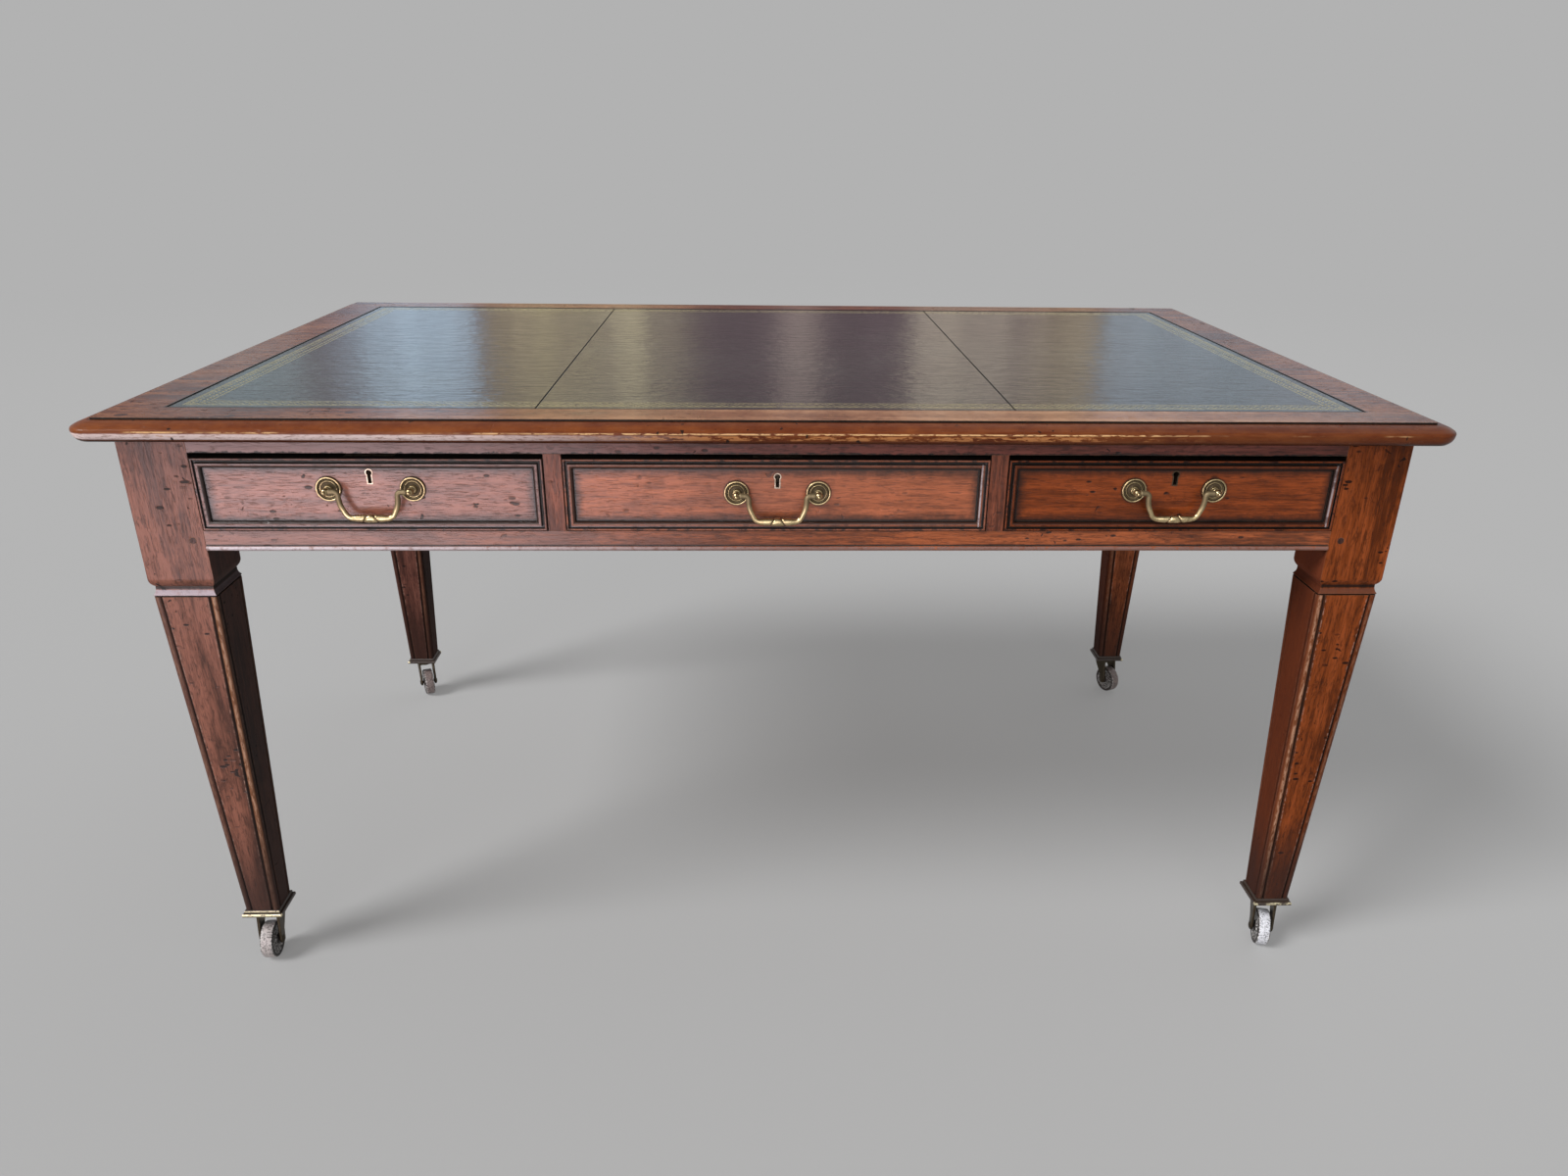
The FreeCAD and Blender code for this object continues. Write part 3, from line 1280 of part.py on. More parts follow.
def build_horn_pattern():
    """Crown and two curved, tapering arms that carry the axle, trailing towards -Y."""
    axle_y = -S.castor_trail
    crown_low = S.plate_underside - S.swivel_gap - S.crown_thickness
    crown_body = new_body("horn_crown")
    crown = body_box(
        crown_body, "block", (-S.crown_length / 2, -S.crown_width / 2, crown_low),
        (S.crown_length, S.crown_width, S.crown_thickness),
    )
    rounded(crown_body, "round", crown, S.horn_thickness, is_upright)
    bore = rod("horn_bore", S.pintle_radius + S.swivel_clearance, S.crown_thickness + 2 * HIDDEN_OVERLAP,
               (0, 0, crown_low - HIDDEN_OVERLAP), "z")
    arms = []
    for side_x, sign_x in SIDES_X.items():
        start_x = -S.crown_length / 2 if sign_x < 0 else S.crown_length / 2 - S.horn_thickness
        arm = new_body(f"horn_arm_{side_x}")
        shoulder = S.crown_width / 2 - S.horn_thickness
        side_view = outline(sketch_in(arm, "outline", "YZ_Plane", start_x), [
            (axle_y - S.horn_eye_radius, S.wheel_radius),
            (axle_y + S.horn_eye_radius, S.wheel_radius, S.horn_sweep_radius, RIGHT_TURN),
            (shoulder, crown_low + HIDDEN_OVERLAP),
            (-shoulder, crown_low + HIDDEN_OVERLAP, S.horn_sweep_radius, LEFT_TURN),
        ])
        padded(arm, "pad", side_view, S.horn_thickness)
        arms.append(arm)
        arms.append(rod(f"horn_eye_{side_x}", S.horn_eye_radius, S.horn_thickness,
                        (start_x, axle_y, S.wheel_radius), "x"))
    span = S.crown_length + 2 * S.axle_head_length
    axle = fused("castor_axle", [
        rod("axle_rod", S.axle_radius, span, (-span / 2, axle_y, S.wheel_radius), "x"),
        rod("axle_head_left", S.axle_head_radius, S.axle_head_length,
            (-span / 2, axle_y, S.wheel_radius), "x"),
        rod("axle_head_right", S.axle_head_radius, S.axle_head_length,
            (S.crown_length / 2, axle_y, S.wheel_radius), "x"),
    ])
    horn = without("horn_whole", fused("horn_blank", [crown_body] + arms), [bore, axle])
    return group("horn_pattern", [horn, axle])


def build_wheel_pattern():
    """Wheel with dished sides, a hub and a round-edged tread."""
    body = new_body("wheel_pattern")
    section = sketch_in(body, "section", "XZ_Plane")
    half, hub_half = S.wheel_width / 2, S.wheel_hub_width / 2
    bore = S.axle_radius + S.axle_clearance
    dish = half - S.wheel_dish
    outline = [
        (hub_half, bore), (hub_half, S.wheel_hub_radius), (dish, S.wheel_hub_radius),
        (dish, S.wheel_rim_radius), (half, S.wheel_rim_radius),
        (half, S.wheel_radius - S.wheel_edge), (half - S.wheel_edge, S.wheel_radius),
    ]
    mirrored = [(-as_size(x), y) for x, y in reversed(outline)]
    polygon(section, outline + mirrored)
    turned_solid(body, "turning", section, "H_Axis")
    return body


def build_castors():
    plate, stem = build_plate_pattern()
    horn, wheel = build_horn_pattern(), build_wheel_pattern()
    plates, stems = [], []
    for side_y, sign_y in SIDES_Y.items():
        for side_x, sign_x in SIDES_X.items():
            corner = f"{side_y}_{side_x}"
            spot = (sign_x * LEG_X, sign_y * LEG_Y)
            turn = CASTOR_TURN[corner]
            plates.append(copy_of(f"{corner}_plate", plate, *spot))
            stems.append(copy_of(f"{corner}_stem", stem, *spot))
            node(f"{corner}_castor_horn", copy_of(f"{corner}_horn_copy", horn, *spot, turn=turn))
            raised = place(group(f"{corner}_wheel_raised", [wheel]), 0, -S.castor_trail, S.wheel_radius)
            node(f"{corner}_castor_wheel", copy_of(f"{corner}_wheel_copy", raised, *spot, turn=turn))
    node("castor_plates", group("plate_set", plates))
    return stems


# ---------------------------------------------------------------- the whole desk

def build_desk():
    pegs = build_pegs()
    dividers = build_dividers()
    rails = build_rails(dividers, pegs)
    bearer = build_bearer()
    aprons = build_aprons(bearer, pegs)
    build_stops()
    kickers = build_inner_frame()
    screws = build_screws()
    node("drawer_kickers", without("kicker_set_cut", group("kicker_set", kickers), [screws]))
    build_top(screws)
    build_leathers()
    stems = build_castors()
    build_legs(build_leg_pattern(), {**rails, **aprons, "all": [pegs] + stems})
    build_drawers()


def check_and_write():
    """Stop on any failed object, then write one STEP file per node."""
    document.recompute()
    for item in document.Objects:
        if "Invalid" in item.State or "Error" in item.State:
            raise RuntimeError(f"{item.Name} failed: {item.State}")
    os.makedirs("parts", exist_ok=True)
    for item in NODES:
        shape = item.Shape
        if shape.isNull() or not shape.isValid() or not shape.Solids:
            raise RuntimeError(f"{item.Label} has no valid solid")
        shape.exportStep(f"parts/{item.Label}.step")
    print(f"{len(NODES)} nodes, {sum(len(item.Shape.Solids) for item in NODES)} solids")


build_desk()
check_and_write()
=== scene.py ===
"""Looks for the partners desk: worn mahogany, tooled leather, aged brass handles and castors."""

import json
import math

import bmesh
import bpy
from mathutils import Matrix, Vector


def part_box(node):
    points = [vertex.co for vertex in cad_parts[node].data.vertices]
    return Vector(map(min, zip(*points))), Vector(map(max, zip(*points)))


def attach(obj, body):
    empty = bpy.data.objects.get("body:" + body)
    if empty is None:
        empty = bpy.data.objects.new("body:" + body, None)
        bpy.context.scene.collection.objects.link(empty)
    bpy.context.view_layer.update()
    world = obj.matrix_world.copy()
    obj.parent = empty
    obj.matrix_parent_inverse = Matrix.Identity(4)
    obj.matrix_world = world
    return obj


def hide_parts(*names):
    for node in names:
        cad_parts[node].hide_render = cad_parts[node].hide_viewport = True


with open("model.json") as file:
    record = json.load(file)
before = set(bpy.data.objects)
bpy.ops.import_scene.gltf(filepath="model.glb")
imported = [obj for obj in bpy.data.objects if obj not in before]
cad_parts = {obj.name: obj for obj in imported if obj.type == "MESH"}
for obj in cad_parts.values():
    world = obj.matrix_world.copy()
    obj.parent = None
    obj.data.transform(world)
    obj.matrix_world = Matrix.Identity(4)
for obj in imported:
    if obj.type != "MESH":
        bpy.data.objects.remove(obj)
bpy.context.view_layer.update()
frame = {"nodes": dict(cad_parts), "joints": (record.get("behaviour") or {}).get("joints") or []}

MM = 0.001
ROWS = {"near": -1, "far": 1}
COLUMNS = ("left", "centre", "right")
TOP_LOW, TOP_HIGH = (Vector(corner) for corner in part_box("top_board"))
SKIN_HIGH = Vector(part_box("writing_leathers")[1])
PIVOTS = {joint["name"]: Vector(joint["pos_m"]) for joint in frame["joints"] if "pos_m" in joint}
AXES = {joint["name"]: Vector(joint["axis"]) for joint in frame["joints"]}


# ---------- nodes of the materials

class Nodes:
    """Builds the node tree of a material or of the world, and does sums in it."""

    def __init__(self, owner):
        owner.use_nodes = True
        self.tree = owner.node_tree
        self.tree.nodes.clear()

    def join(self, source, target):
        self.tree.links.new(source, target)

    def add(self, kind, inputs=None, **settings):
        item = self.tree.nodes.new("ShaderNode" + kind)
        for key, value in settings.items():
            setattr(item, key, value)
        for key, value in (inputs or {}).items():
            self.feed(item.inputs[key], value)
        return item

    def feed(self, socket, value):
        if isinstance(value, bpy.types.NodeSocket):
            self.join(value, socket)
        elif socket.type == "RGBA" and len(value) == 3:
            socket.default_value = (*value, 1.0)
        else:
            socket.default_value = value

    def math(self, operation, first, second=0.0, third=None, clamp=False):
        inputs = {0: first, 1: second}
        if third is not None:
            inputs[2] = third
        return self.add("Math", inputs, operation=operation, use_clamp=clamp).outputs[0]

    def times(self, first, second, clamp=False):
        return self.math("MULTIPLY", first, second, clamp=clamp)

    def minus(self, first, second):
        return self.math("SUBTRACT", first, second)

    def more(self, base, value, share, clamp=False):
        """The base with a share of a value added to it."""
        return self.math("MULTIPLY_ADD", value, share, base, clamp)

    def size(self, value):
        return self.math("ABSOLUTE", value)

    def larger(self, first, second):
        return self.math("MAXIMUM", first, second)

    def smaller(self, first, second):
        return self.math("MINIMUM", first, second)

    def all_of(self, *masks):
        total = masks[0]
        for mask in masks[1:]:
            total = self.times(total, mask)
        return total


class Look(Nodes):
    """A material with one principled surface. paint lays colours over its present colour."""

    def __init__(self, name):
        self.material = bpy.data.materials.new(name)
        super().__init__(self.material)
        self.surface = self.add("BsdfPrincipled")
        self.output = self.add("OutputMaterial", {"Surface": self.surface.outputs[0]})
        self.place = self.add("TexCoord").outputs["Object"]
        self.colour = None

    def range(self, value, low, high, to_low=0.0, to_high=1.0, smooth=True):
        kind = "SMOOTHSTEP" if smooth else "LINEAR"
        inputs = {"Value": value, "From Min": low, "From Max": high, "To Min": to_low, "To Max": to_high}
        return self.add("MapRange", inputs, interpolation_type=kind).outputs[0]

    def near(self, value, middle, half, soft):
        """1 where value is within half of middle, fading over soft."""
        return self.range(self.size(self.minus(value, middle)), half + soft, half)

    def mix(self, factor, first, second):
        item = self.add("Mix", data_type="RGBA")
        self.feed(item.inputs[0], factor)
        self.feed(item.inputs[6], first)
        self.feed(item.inputs[7], second)
        return item.outputs[2]

    def paint(self, coat, *masks):
        """Lays a colour over the present one where the product of masks and shares is 1."""
        self.colour = self.mix(self.all_of(*masks), self.colour, coat)

    def axes(self, vector=None):
        """The three coordinates of a vector, or else of the place being shaded."""
        return self.add("SeparateXYZ", {0: vector or self.place}).outputs

    def about(self, centre):
        """The place being shaded, measured from a centre."""
        return self.add("VectorMath", {0: self.place, 1: centre}, operation="SUBTRACT").outputs[0]

    def moved(self, scale=(1, 1, 1), turn=(0, 0, 0), shift=(0, 0, 0), vector=None):
        inputs = {"Vector": vector or self.place, "Scale": scale, "Rotation": turn, "Location": shift}
        return self.add("Mapping", inputs).outputs[0]

    def noise(self, vector, scale, detail, rough, warp=0.0):
        inputs = {"Vector": vector, "Scale": scale, "Detail": detail, "Roughness": rough, "Distortion": warp}
        return self.add("TexNoise", inputs).outputs[0]

    def ramp(self, factor, stops):
        item = self.add("ValToRGB")
        self.join(factor, item.inputs[0])
        points = item.color_ramp.elements
        while len(points) < len(stops):
            points.new(0.5)
        for point, (where, colour) in zip(points, stops):
            point.position = where
            point.color = (*colour, 1.0)
        return item.outputs[0]

    def hollow(self, distance, samples=6):
        """1 in narrow hollows, 0 in the open."""
        item = self.add("AmbientOcclusion", {"Distance": distance}, samples=samples)
        return self.math("SUBTRACT", 1.0, item.outputs["AO"], clamp=True)

    def edges(self, radius):
        """1 along sharp edges, 0 on flat faces."""
        soft = self.add("Bevel", {"Radius": radius}, samples=4).outputs[0]
        true = self.add("NewGeometry").outputs["True Normal"]
        dot = self.add("VectorMath", {0: soft, 1: true}, operation="DOT_PRODUCT").outputs["Value"]
        return self.range(self.minus(1.0, dot), 0.02, 0.25)

    def bump(self, height, distance, strength=1.0, radius=None):
        inputs = {"Height": height, "Distance": distance, "Strength": strength}
        if radius is not None:
            inputs["Normal"] = self.add("Bevel", {"Radius": radius}, samples=4).outputs[0]
        self.join(self.add("Bump", inputs).outputs[0], self.surface.inputs["Normal"])

    def finish(self, rough, metal=0.0, gloss=0.5):
        """Feeds the surface. gloss is how much its polish mirrors."""
        self.feed(self.surface.inputs["Base Color"], self.colour)
        self.feed(self.surface.inputs["Roughness"], rough)
        self.feed(self.surface.inputs["Metallic"], metal)
        self.surface.inputs["Specular IOR Level"].default_value = gloss


def toned(colour, share, lift=0.0):
    """A colour times a share, with the same little amount added to each part."""
    return tuple(share * part + lift for part in colour)


def timber(middle):
    """Dark, middle and light tone of one timber."""
    return toned(middle, 0.45), middle, toned(middle, 1.42, 0.004)


# ---------- mahogany

# Near black: wax and dirt in quirks and nicks, and painted shade in hollows, under overhangs and along gaps
DIRT_AND_SHADE = (0.01, 0.0065, 0.005)
WAX = (0.016, 0.008, 0.006)
WORN_EDGE = (0.42, 0.19, 0.09)
GRAIN_ORDER = {"x": (0, 1, 2), "y": (1, 0, 2), "z": (2, 1, 0)}
# Dents of three sizes: turn of their pattern, its scale, and their radius in one cell of it
DENTS = ((0.15, 95.0, 0.13), (-0.5, 60.0, 0.1), (0.9, 42.0, 0.07))


def grained(look, along, shift, stretch=0.07):
    """Object coordinates turned so that the grain runs along the first one, and squeezed along it."""
    parts = look.axes(look.moved(shift=shift))
    first, second, third = GRAIN_ORDER[along]
    run = look.times(parts[first], stretch)
    return look.add("CombineXYZ", {0: run, 1: parts[second], 2: parts[third]}).outputs[0]


def figured_wood(look, along, tones, shift, marks=1.0, contrast=1.5, dash=0.6):
    """Colour and height of polished mahogany: broad stripes, fine streaks, pores, dents and stains."""
    dark, middle, light = tones
    grain = grained(look, along, shift)
    plain = look.moved(shift=shift)
    broad = look.noise(grain, 24.0, 4.0, 0.6, 0.8)
    streaks = look.noise(grain, 120.0, 3.0, 0.7, 0.5)
    fine = look.noise(grain, 520.0, 2.0, 0.7)
    cloud = look.noise(plain, 7.5, 4.0, 0.65, 0.5)
    blend = look.times(streaks, 0.4)
    blend = look.more(blend, broad, 0.35)
    blend = look.more(blend, fine, 0.25)
    blend = look.more(blend, look.minus(cloud, 0.5), 0.35)
    spread = 0.13 / contrast
    look.colour = look.ramp(blend, [(0.5 - spread, dark), (0.5, middle), (0.5 + spread, light)])
    pores = look.range(look.noise(grain, 1100.0, 1.0, 0.5), 0.58, 0.68)
    look.paint(toned(dark, 0.4), pores, 0.5)
    short_grain = grained(look, along, shift, 0.22)
    dashes = look.range(look.noise(short_grain, 270.0, 3.0, 0.65), 0.54, 0.63)
    look.paint(toned(dark, 0.6), dashes, dash)
    bruise = None
    for turn, scale, radius in DENTS:
        bent = look.moved((0.55, 1.0, 1.25), (turn, turn * 0.6, turn), shift)
        cells = look.add("TexVoronoi", {"Vector": bent, "Scale": scale}, feature="F1")
        chance = look.add("SeparateColor", {0: cells.outputs["Color"]}).outputs[0]
        dent = look.range(cells.outputs["Distance"], radius * 1.7, radius)
        dent = look.times(dent, look.range(chance, 0.5, 0.62))
        bruise = look.larger(bruise, dent) if bruise is not None else dent
    bent = look.moved((1.0, 0.16, 1.0), (0.6, 0.4, 0.6), shift)
    scratch = look.range(look.noise(bent, 95.0, 1.0, 0.4, 0.8), 0.715, 0.75)
    groups = look.range(look.noise(plain, 14.0, 2.0, 0.5), 0.47, 0.6)
    bruise = look.times(look.larger(bruise, scratch), groups)
    bruise = look.times(bruise, marks, clamp=True)
    stain = look.range(look.noise(plain, 17.0, 5.0, 0.75, 1.4), 0.58, 0.72)
    look.paint(toned(dark, 0.4), stain, 0.5 * marks)
    look.paint(toned(dark, 0.1), bruise, 0.92)
    height = look.more(look.times(fine, 0.3), streaks, 0.35)
    height = look.more(height, pores, -0.5)
    height = look.more(height, bruise, -1.4)
    look.height, look.broad, look.bruise = height, broad, bruise


def polished(look, wear=0.5, rough=0.34, gloss=0.3, matt=None):
    """Finish of all the mahogany: painted shade in broad hollows, black wax in narrow ones, rubbed edges,
    French polish.
    """
    lumps = look.noise(look.place, 70.0, 3.0, 0.65)
    # Painted shade: near black laid into broad hollows, under overhangs and between parts
    hollow_shade = look.range(look.hollow(0.035, 4), 0.25, 0.85, 0.0, 0.75)
    dirty = look.range(look.more(look.hollow(0.008), lumps, 0.4), 0.42, 0.72)
    look.paint(DIRT_AND_SHADE, hollow_shade)
    look.paint(WORN_EDGE, look.edges(0.0012), look.range(lumps, 0.4, 0.58), wear)
    look.paint(DIRT_AND_SHADE, dirty)
    dull = look.more(rough - 0.08, look.broad, 0.16)
    dull = look.more(dull, look.bruise, 0.2)
    dull = look.more(dull, dirty, 0.25, clamp=True)
    if matt is not None:
        dull = look.more(dull, matt, 0.5, clamp=True)
    look.finish(dull, gloss=gloss)
    look.bump(look.height, 0.00035, 0.7, radius=0.0007)
    return look.material


def mahogany(name, along, middle, shift):
    """Plain polished board."""
    look = Look(name)
    figured_wood(look, along, timber(middle), shift)
    return polished(look)


# Drawer front, measured inwards from its edge: outer bead, black quirk, crest, start of the flat field
FRONT_BEAD, FRONT_QUIRK, FRONT_CREST, FRONT_FIELD = 0.0016, 0.0043, 0.0074, 0.0118
# Painted highlight lines on the moulding: height above the lower edge, and distances from the right end
FOOT_LINE = 0.005
END_LINES = (0.0088, 0.0048)
FOOT_HIGHLIGHT = (0.46, 0.38, 0.42)
END_HIGHLIGHT = (0.42, 0.34, 0.35)


def front_wood(node, tones, shift, marks, gloss):
    """Drawer front: black wax round the mouldings, painted highlights on the crest and bead, and painted
    highlight lines at the foot and the right end.
    """
    look = Look(f"{node}_mahogany")
    figured_wood(look, "x", tones, shift, marks, contrast=1.02, dash=0.33)
    dark, middle, _ = tones
    low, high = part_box(node)
    x, _, z = look.axes()
    aside = look.size(look.minus(x, (low[0] + high[0]) / 2))
    upward = look.size(look.minus(z, (low[2] + high[2]) / 2))
    from_end = look.minus((high[0] - low[0]) / 2, aside)
    inset = look.smaller(from_end, look.minus((high[2] - low[2]) / 2, upward))
    ragged = look.noise(look.place, 90.0, 4.0, 0.7)
    frayed = look.more(inset, look.minus(ragged, 0.5), 0.012)
    look.paint(WAX, look.range(frayed, 0.024, FRONT_FIELD - 0.0003, 0.0, 0.8))
    look.paint(toned(dark, 0.25), look.range(inset, FRONT_FIELD + 0.0004, FRONT_FIELD - 0.0004))
    # Painted highlight along the crest of the ovolo moulding
    crest = look.near(inset, FRONT_CREST, 0.0007, 0.0009)
    look.paint(middle, crest, look.range(ragged, 0.35, 0.55, 0.3, 1.0), 0.5)
    for line in (FRONT_FIELD, FRONT_QUIRK):
        look.paint(DIRT_AND_SHADE, look.near(inset, line, 0.0007, 0.0008))
    # Painted highlight along the top of the outer bead
    bead = look.near(inset, FRONT_BEAD, 0.0007, 0.0005)
    look.paint(toned(middle, 0.85), bead, look.range(ragged, 0.38, 0.52), 0.8)
    on_moulding = look.range(inset, 0.003, 0.0045)
    broken = look.range(ragged, 0.36, 0.5, 0.3, 1.0)
    # Painted highlights: a lilac line along the foot, strongest at the left, and two lines along the right
    # end
    foot_line = look.near(look.minus(z, low[2]), FOOT_LINE, 0.0009, 0.0009)
    look.paint(FOOT_HIGHLIGHT, foot_line, look.range(x, 0.15, -0.45), on_moulding, broken)
    for line in END_LINES:
        end_line = look.near(look.minus(high[0], x), line, 0.0005, 0.0008)
        look.paint(END_HIGHLIGHT, end_line, look.range(x, 0.05, 0.22), on_moulding, broken, 0.8)
    return polished(look, rough=0.3, gloss=gloss)


# Leg: ends of the taper and half the width there, quirk and painted glint line of the corner bead, lip,
# neck, block
SHAFT_TOP, SHAFT_FOOT = 0.5387, 0.08
HALF_TOP, HALF_FOOT = 0.0365, 0.022
QUIRK = 0.0095
BEAD_LINE = 0.0054
LIP_HEIGHT, NECK_HEIGHT, BLOCK_FOOT = 0.5432, 0.5495, 0.55
BROWN_BEAD = (0.16, 0.055, 0.022)
BEAD_GLINT = (0.46, 0.25, 0.16)
PALE_ARRIS = (0.4, 0.24, 0.19)
FOOT_DARKENING = (0.035, 0.014, 0.01)


def leg_wood(node, tones, shift, inner_shade, lip_highlight, bead_tone, glint_share, gloss):
    """Leg: painted glints on corner beads between black quirks, panels full of marks, painted highlight on
    the lip, painted shade on the neck and inner face, darker towards the foot.
    """
    look = Look(f"{node}_mahogany")
    figured_wood(look, "z", tones, shift, 1.3)
    low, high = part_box(node)
    centre = ((low[0] + high[0]) / 2, (low[1] + high[1]) / 2, 0.0)
    x, y, z = look.axes(look.about(centre))
    deep = look.size(y)
    half = look.range(z, SHAFT_FOOT, SHAFT_TOP, HALF_FOOT, HALF_TOP, smooth=False)
    corner = look.minus(half, look.smaller(look.size(x), deep))
    shaft = look.math("LESS_THAN", z, SHAFT_TOP)
    ragged = look.noise(look.place, 150.0, 4.0, 0.7)
    frayed = look.more(corner, look.minus(ragged, 0.5), 0.003)
    inward = look.times(x, -1.0 if centre[0] > 0 else 1.0)
    bead = look.all_of(shaft, look.range(corner, QUIRK, QUIRK - 0.0015))
    look.paint(look.mix(look.range(inward, -0.004, 0.006), tones[0], bead_tone), bead, 0.8)
    # Painted glints: broken bright flecks along the corner bead, stronger on the side facing into the desk
    flecks = look.noise(look.moved((1.0, 1.0, 0.22), shift=shift), 420.0, 3.0, 0.7)
    thin = look.near(look.more(corner, ragged, 0.002), BEAD_LINE, 0.001, 0.0016)
    lit_side = look.range(inward, -0.004, 0.006, 0.25, 1.0)
    look.paint(BEAD_GLINT, bead, thin, look.range(flecks, 0.42, 0.56), lit_side, glint_share)
    look.paint(DIRT_AND_SHADE, shaft, look.near(frayed, QUIRK, 0.0006, 0.001), 0.8)
    arris = look.near(corner, QUIRK + 0.0018, 0.0002, 0.0006)
    look.paint(PALE_ARRIS, shaft, arris, look.range(ragged, 0.45, 0.6), 0.7)
    # Painted highlight on the top-facing lip of the collar: pale lilac on the near left leg, dim red on the
    # others
    lip = look.near(z, LIP_HEIGHT, 0.0028, 0.0014)
    look.paint(lip_highlight, lip, look.range(ragged, 0.35, 0.5, 0.7, 1.0), 0.9)
    # Painted shade: a dark line on the neck under the block
    look.paint(DIRT_AND_SHADE, look.near(z, NECK_HEIGHT, 0.0015, 0.001), 0.9)
    # Painted shade: the face turned into the desk is laid dark, a little lighter on the block
    inner = look.range(look.minus(inward, deep), -0.001, 0.001)
    block = look.range(z, BLOCK_FOOT - 0.002, BLOCK_FOOT + 0.002)
    look.paint(look.mix(block, inner_shade, toned(inner_shade, 1.6, 0.004)), inner, 0.85)
    # Darker towards the foot
    ragged_rise = look.more(z, look.minus(look.broad, 0.5), 0.15)
    look.paint(FOOT_DARKENING, look.range(ragged_rise, 0.24, 0.1, 0.0, 0.85))
    return polished(look, gloss=gloss, matt=inner)


# Rails, measured upwards from the lower edge: painted shade along the gap, bead, quirk
GAP_SHADE_EDGE, RAIL_BEAD, RAIL_QUIRK = 0.0022, 0.003, 0.0066


def rail_wood(node, tones, shift, left_sheen, bead_highlight_tones, gloss):
    """Rail: painted sheen towards the left; ragged painted shade along its lower edge, or a bead there with
    a painted highlight, pale towards the left.
    """
    look = Look(f"{node}_mahogany")
    figured_wood(look, "x", tones, shift)
    low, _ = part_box(node)
    x, _, z = look.axes()
    rise = look.minus(z, low[2])
    ragged = look.noise(look.place, 110.0, 4.0, 0.7)
    # Painted sheen: a paler, lilac tone laid on towards the left
    look.paint(left_sheen, look.range(x, 0.0, -0.5, 0.0, 0.65))
    if bead_highlight_tones:
        # Painted highlight along the bead: pale lilac at the left, brown to the right
        tone = look.mix(look.range(x, -0.6, 0.05), *bead_highlight_tones)
        bead = look.near(rise, RAIL_BEAD, 0.0018, 0.001)
        look.paint(tone, bead, look.range(ragged, 0.32, 0.52, 0.25, 1.0))
        look.paint(DIRT_AND_SHADE, look.near(rise, RAIL_QUIRK, 0.0005, 0.0007))
    else:
        # Painted shade: a ragged near-black band along the lower edge, where the gap above the drawer is
        # dark
        frayed = look.more(rise, look.minus(ragged, 0.5), 0.008)
        look.paint(DIRT_AND_SHADE, look.range(frayed, GAP_SHADE_EDGE, GAP_SHADE_EDGE - 0.002))
    return polished(look, gloss=gloss)


# Top: width of the moulded nosing, and height of its widest line above the underside
NOSING_STEP = 0.021
WIDEST = 0.0115
TOP_TONES = ((0.075, 0.02, 0.008), (0.185, 0.06, 0.024), (0.29, 0.115, 0.05))
NOSING_TONES = ((0.34, (0.065, 0.012, 0.003)), (0.5, (0.14, 0.029, 0.007)), (0.64, (0.22, 0.058, 0.014)))
SHADED_NOSING = (0.045, 0.01, 0.004)
WORN_HIGHLIGHT = (0.56, 0.23, 0.08)
LILAC_SHEEN = (0.8, 0.62, 0.6)
GOLDEN_HIGHLIGHT = (0.74, 0.44, 0.2)
NOSING_UNDERSIDE_SHADE = (0.035, 0.012, 0.006)
TOP_ARRIS_WEAR_AND_HIGHLIGHT = (0.5, 0.27, 0.14)
FADED_STRIP = ((0.34, 0.155, 0.075), (0.56, 0.295, 0.16))
PLUG_COLOUR = (0.025, 0.009, 0.006)
# Dark plugs in the near edge of the top: X, Y and radius
PLUGS = ((-0.713, -0.436, 0.0075), (-0.595, -0.439, 0.006), (-0.473, -0.42, 0.006), (-0.381, -0.404, 0.004))


def inside(look, x, y, corner):
    """How far a place lies inside the nearer edges of a rectangle round the origin."""
    return look.smaller(look.minus(corner.x, look.size(x)), look.minus(corner.y, look.size(y)))


def nosing_wear_and_highlights(look, nosing, x, rise):
    """Lines along the nosing: rubbed lines with painted highlights, golden in the middle, painted lilac
    sheen to the left, painted shade underneath, and a few black nicks.
    """
    long_patch = look.noise(look.moved(), 9.0, 3.0, 0.6)
    central = look.range(look.size(look.minus(x, 0.07)), 0.5, 0.15)
    rubbed = look.more(long_patch, central, 0.3)
    flecks = look.noise(look.moved((0.45, 0.45, 2.0)), 190.0, 3.0, 0.7)
    chips = look.noise(look.moved((0.35, 0.35, 1.4)), 130.0, 4.0, 0.75)
    # Painted highlight, partly rubbed: a broken pale line just under the widest line, fading to the right
    lower = look.near(look.more(rise, chips, 0.004), WIDEST - 0.002, 0.0018, 0.0018)
    lower = look.all_of(nosing, lower, look.range(rubbed, 0.5, 0.66), look.range(chips, 0.46, 0.54))
    look.paint(WORN_HIGHLIGHT, lower, look.range(x, 0.3, 0.66, 0.8, 0.15))
    lilac = look.near(rise, WIDEST - 0.0045, 0.0024, 0.0018)
    mottled = look.range(flecks, 0.36, 0.52, 0.45, 1.0)
    look.paint(LILAC_SHEEN, nosing, lilac, look.range(x, -0.05, -0.4), mottled)
    # Painted highlight, partly rubbed: a thin golden line along the widest line
    thin = look.near(rise, WIDEST + 0.0005, 0.0004, 0.0008)
    look.paint(GOLDEN_HIGHLIGHT, nosing, thin, look.range(rubbed, 0.46, 0.62), look.range(flecks, 0.4, 0.52))
    nicks = look.noise(look.moved((1.0, 1.0, 0.35), (0.0, 0.4, 0.0)), 130.0, 1.0, 0.4)
    look.paint(DIRT_AND_SHADE, nosing, look.range(nicks, 0.7, 0.74), look.range(long_patch, 0.47, 0.55), 0.9)
    # Painted shade on the underside of the nosing, below its widest line
    look.paint(NOSING_UNDERSIDE_SHADE, look.range(rise, WIDEST - 0.0065, WIDEST - 0.0105), 0.75)


